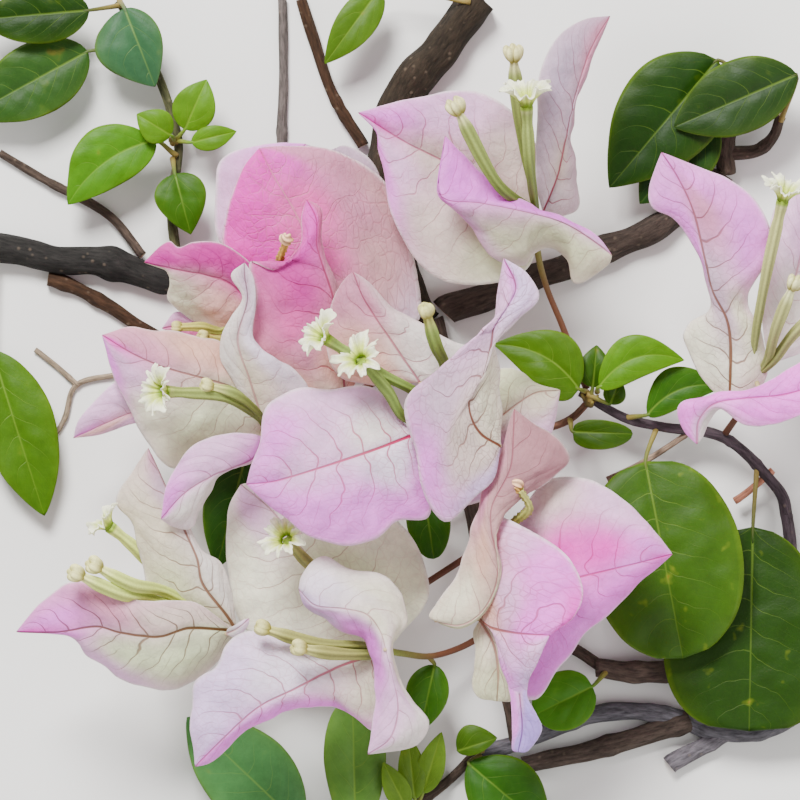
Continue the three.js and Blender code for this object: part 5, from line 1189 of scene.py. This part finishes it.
def limb_piece(name, branch, tone, run_on, seed):
    """A woody limb with knots and ridged bark. tone is its dye, and run_on how far each end goes on."""
    start, end, path = branch
    path = np.array(path, float)
    for place, after, far in ((0, 1, run_on[0]), (-1, -2, run_on[1])):
        away = path[place] - path[after]
        path[place] += away * far / np.linalg.norm(away)
    length = np.linalg.norm(np.diff(through(path, 60), axis=0), axis=1).sum()
    count = max(LIMB_STEPS_LEAST, int(length / LIMB_STEP_MM))
    line = through(path, count)
    part = np.linspace(0, 1, count)
    radius = start + (end - start) * part
    rng = np.random.default_rng(seed)
    for knot in rng.uniform(0.05, 0.95, max(1, int(length / KNOT_EVERY_MM))):
        radius = radius * (1 + KNOT_SWELL * np.exp(-((part - knot) * length / (0.8 * start)) ** 2))
    sways = [waves(line, SWAY_MM, seed), waves(line, SWAY_MM, seed + 5), 0 * part]
    line = line + np.column_stack(sways) * SWAY * start
    line[[0, -1]] = path[[0, -1]]
    # Two more steps at either end close the bar with a face, of pale wood where the end is in view.
    line = np.vstack([line[:1], line[:1], line, line[-1:], line[-1:]])
    way_in = (line[3] - line[2]) * CUT_RISE
    way_out = (line[-3] - line[-4]) * CUT_RISE
    line[1] -= way_in
    line[0] -= 1.5 * way_in
    line[-2] += way_out
    line[-1] += 1.5 * way_out
    first, last = radius[0], radius[-1]
    radius = np.concatenate([[first * 0.5, first * 0.93], radius, [last * 0.93, last * 0.5]])
    tint = np.broadcast_to(dye(tone), (len(line), 3)).copy()
    if not run_on[0]:
        tint[:2] = dye(CUT_WOOD)
    if not run_on[1]:
        tint[-2:] = dye(CUT_WOOD)

    def ridge(along, turn):
        where = np.column_stack([np.cos(turn) * 1.3, np.sin(turn) * 1.3, along * length * 0.16])
        fine = np.array([noise.noise(Vector(p) + Vector((seed, 0, 0))) for p in where])
        coarse = np.array([noise.noise(Vector(p) * 0.45 + Vector((0, seed, 0))) for p in where])
        return 0.2 * fine + 0.12 * coarse

    # The bark is painted darker in the hollows of its relief, as shade, and lighter on its ridges.
    return bar(name, line, radius, LIMB_SIDES, tint, YOUNG_BARK, ridge, 1.2)


# Building the branch

FIRST_BLOOM_SEED = 1
FIRST_LEAF_SEED = 100
FIRST_LIMB_SEED = 300
# The radii and the dyes of the stalks, from where they start to where they end
STALK_MM = (0.75, 0.62, 0.7)
STALK_DYES = ("#54301F", "#6A4028", "#7E8A3C")
CLAW_MM = (0.55, 0.4)
CLAW_DYES = ("#98904E", "#C9B08A")
LEAF_STALK_MM = (0.62, 0.5, 0.4, 0.3)
LEAF_STALK_FOOT = "#8F7A3E"
SCALE_DYES = ("#4E3E22", "#807030")


def finish_piece(piece, nodes):
    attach(piece, "root")
    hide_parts(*nodes)


def make_blooms():
    seed = FIRST_BLOOM_SEED
    for bloom in BLOOMS:
        name, heart = bloom["name"], bloom["heart"]
        bracts = []
        points = [*bloom["stalk"], heart]
        greens = [stalk_piece(name + "_stalk", points, STALK_MM, STALK_DYES, steps=40, sides=10)]
        for bract in bloom["bracts"]:
            bracts.append(bract_piece(name + "_bract", bract, seed))
            foot = bract.get("claw") or bract["rib"][0]
            greens.append(stalk_piece(name + "_claw", [heart, foot], CLAW_MM, CLAW_DYES, steps=8, sides=8))
            seed += 1
        for flower in bloom["flowers"]:
            greens += flower_parts(bloom, *flower, seed=seed)
            seed += 1
        finish_piece(joined(name + "_bracts", bracts), [name])
        finish_piece(joined(name + "_flowers", greens), [name])


def rooted(stalk, base):
    """The start of a leaf stalk, a little inside the twig that the stalk stands on."""
    away = np.array(stalk, float) - np.array(base, float)
    return tuple(np.array(stalk, float) + STALK_ROOT * away / np.linalg.norm(away))


def make_leaves():
    seed = FIRST_LEAF_SEED
    ages = {"young": ([], []), "green": ([], [])}
    for name, (age, green, blades) in LEAVES.items():
        pieces, nodes = ages[age]
        nodes.append(name)
        for leaf in blades:
            pieces.append(leaf_piece(name, leaf, green, seed))
            foot = np.array(leaf["base"], float) * 0.92 + np.array(leaf["tip"], float) * 0.08
            points = [rooted(leaf["stalk"], leaf["base"]), leaf["stalk"], leaf["base"], foot]
            pieces.append(stalk_piece(name + "_stalk", points, LEAF_STALK_MM, (LEAF_STALK_FOOT, green),
                                      steps=14, sides=8))
            seed += 1
    for base, tip, width in NODE_SCALES:
        ages["young"][0].append(stalk_piece("node_scale", [base, tip], (width, 0.4 * width), SCALE_DYES,
                                            steps=8, sides=10))
    for age, (pieces, nodes) in ages.items():
        finish_piece(joined("foliage_" + age, pieces), nodes)


def make_limbs():
    seed = FIRST_LIMB_SEED
    barks = {"grey": ([], []), "brown": ([], [])}
    for name, (colour, tone, run_on, branches) in LIMBS.items():
        pieces, nodes = barks[colour]
        nodes.append(name)
        for branch in branches:
            pieces.append(limb_piece(name, branch, tone, run_on, seed))
            seed += 1
    for colour, (pieces, nodes) in barks.items():
        finish_piece(joined("boughs_" + colour, pieces), nodes)


# The studio

FLOOR_SIZE_M = 6
# The middle of the spray, at half its height, which both lamps face
LAMP_AIM = Vector((0, 0, 0.03))


def plain_finish(name, code):
    finish, tree = new_finish(name)
    close_tree(tree, add(tree, "ShaderNodeBsdfPrincipled", {"Base Color": (*dye(code), 1), "Roughness": 0.9,
                                                            "Specular IOR Level": 0.1}))
    return finish


def lamp(name, place, size, watts):
    light = bpy.data.lights.new(name, "AREA")
    light.size = size
    light.energy = watts
    holder = bpy.data.objects.new(name, light)
    bpy.context.scene.collection.objects.link(holder)
    holder.location = place
    holder.rotation_euler = (LAMP_AIM - Vector(place)).to_track_quat("-Z", "Y").to_euler()


def make_studio():
    deselect()
    bpy.ops.mesh.primitive_plane_add(size=FLOOR_SIZE_M)
    floor = bpy.context.object
    floor.name = "studio_floor"
    floor.data.materials.append(plain_finish("pale_paper", "#E9E8E4"))
    lamp("key", (-0.35, 0.95, 1.2), size=0.5, watts=58)
    lamp("fill", (0.9, -0.7, 1.1), size=1.2, watts=12)
    world = bpy.data.worlds.new("studio")
    world.use_nodes = True
    back = world.node_tree.nodes["Background"]
    back.inputs["Color"].default_value = (0.97, 0.95, 0.96, 1)
    back.inputs["Strength"].default_value = 0.72
    bpy.context.scene.world = world


def make_camera():
    camera = bpy.data.cameras.new("camera")
    camera.sensor_width = SENSOR_MM
    camera.lens = SENSOR_MM * CAMERA_DISTANCE_M / (FIELD_MM * MM)
    camera.clip_end = 20
    holder = bpy.data.objects.new("camera", camera)
    bpy.context.scene.collection.objects.link(holder)
    centre = placed((0, 0, FIELD_HEIGHT_MM))
    holder.location = (centre[0], centre[1], centre[2] + CAMERA_DISTANCE_M)
    bpy.context.scene.camera = holder


make_camera()
make_studio()
make_limbs()
make_leaves()
make_blooms()
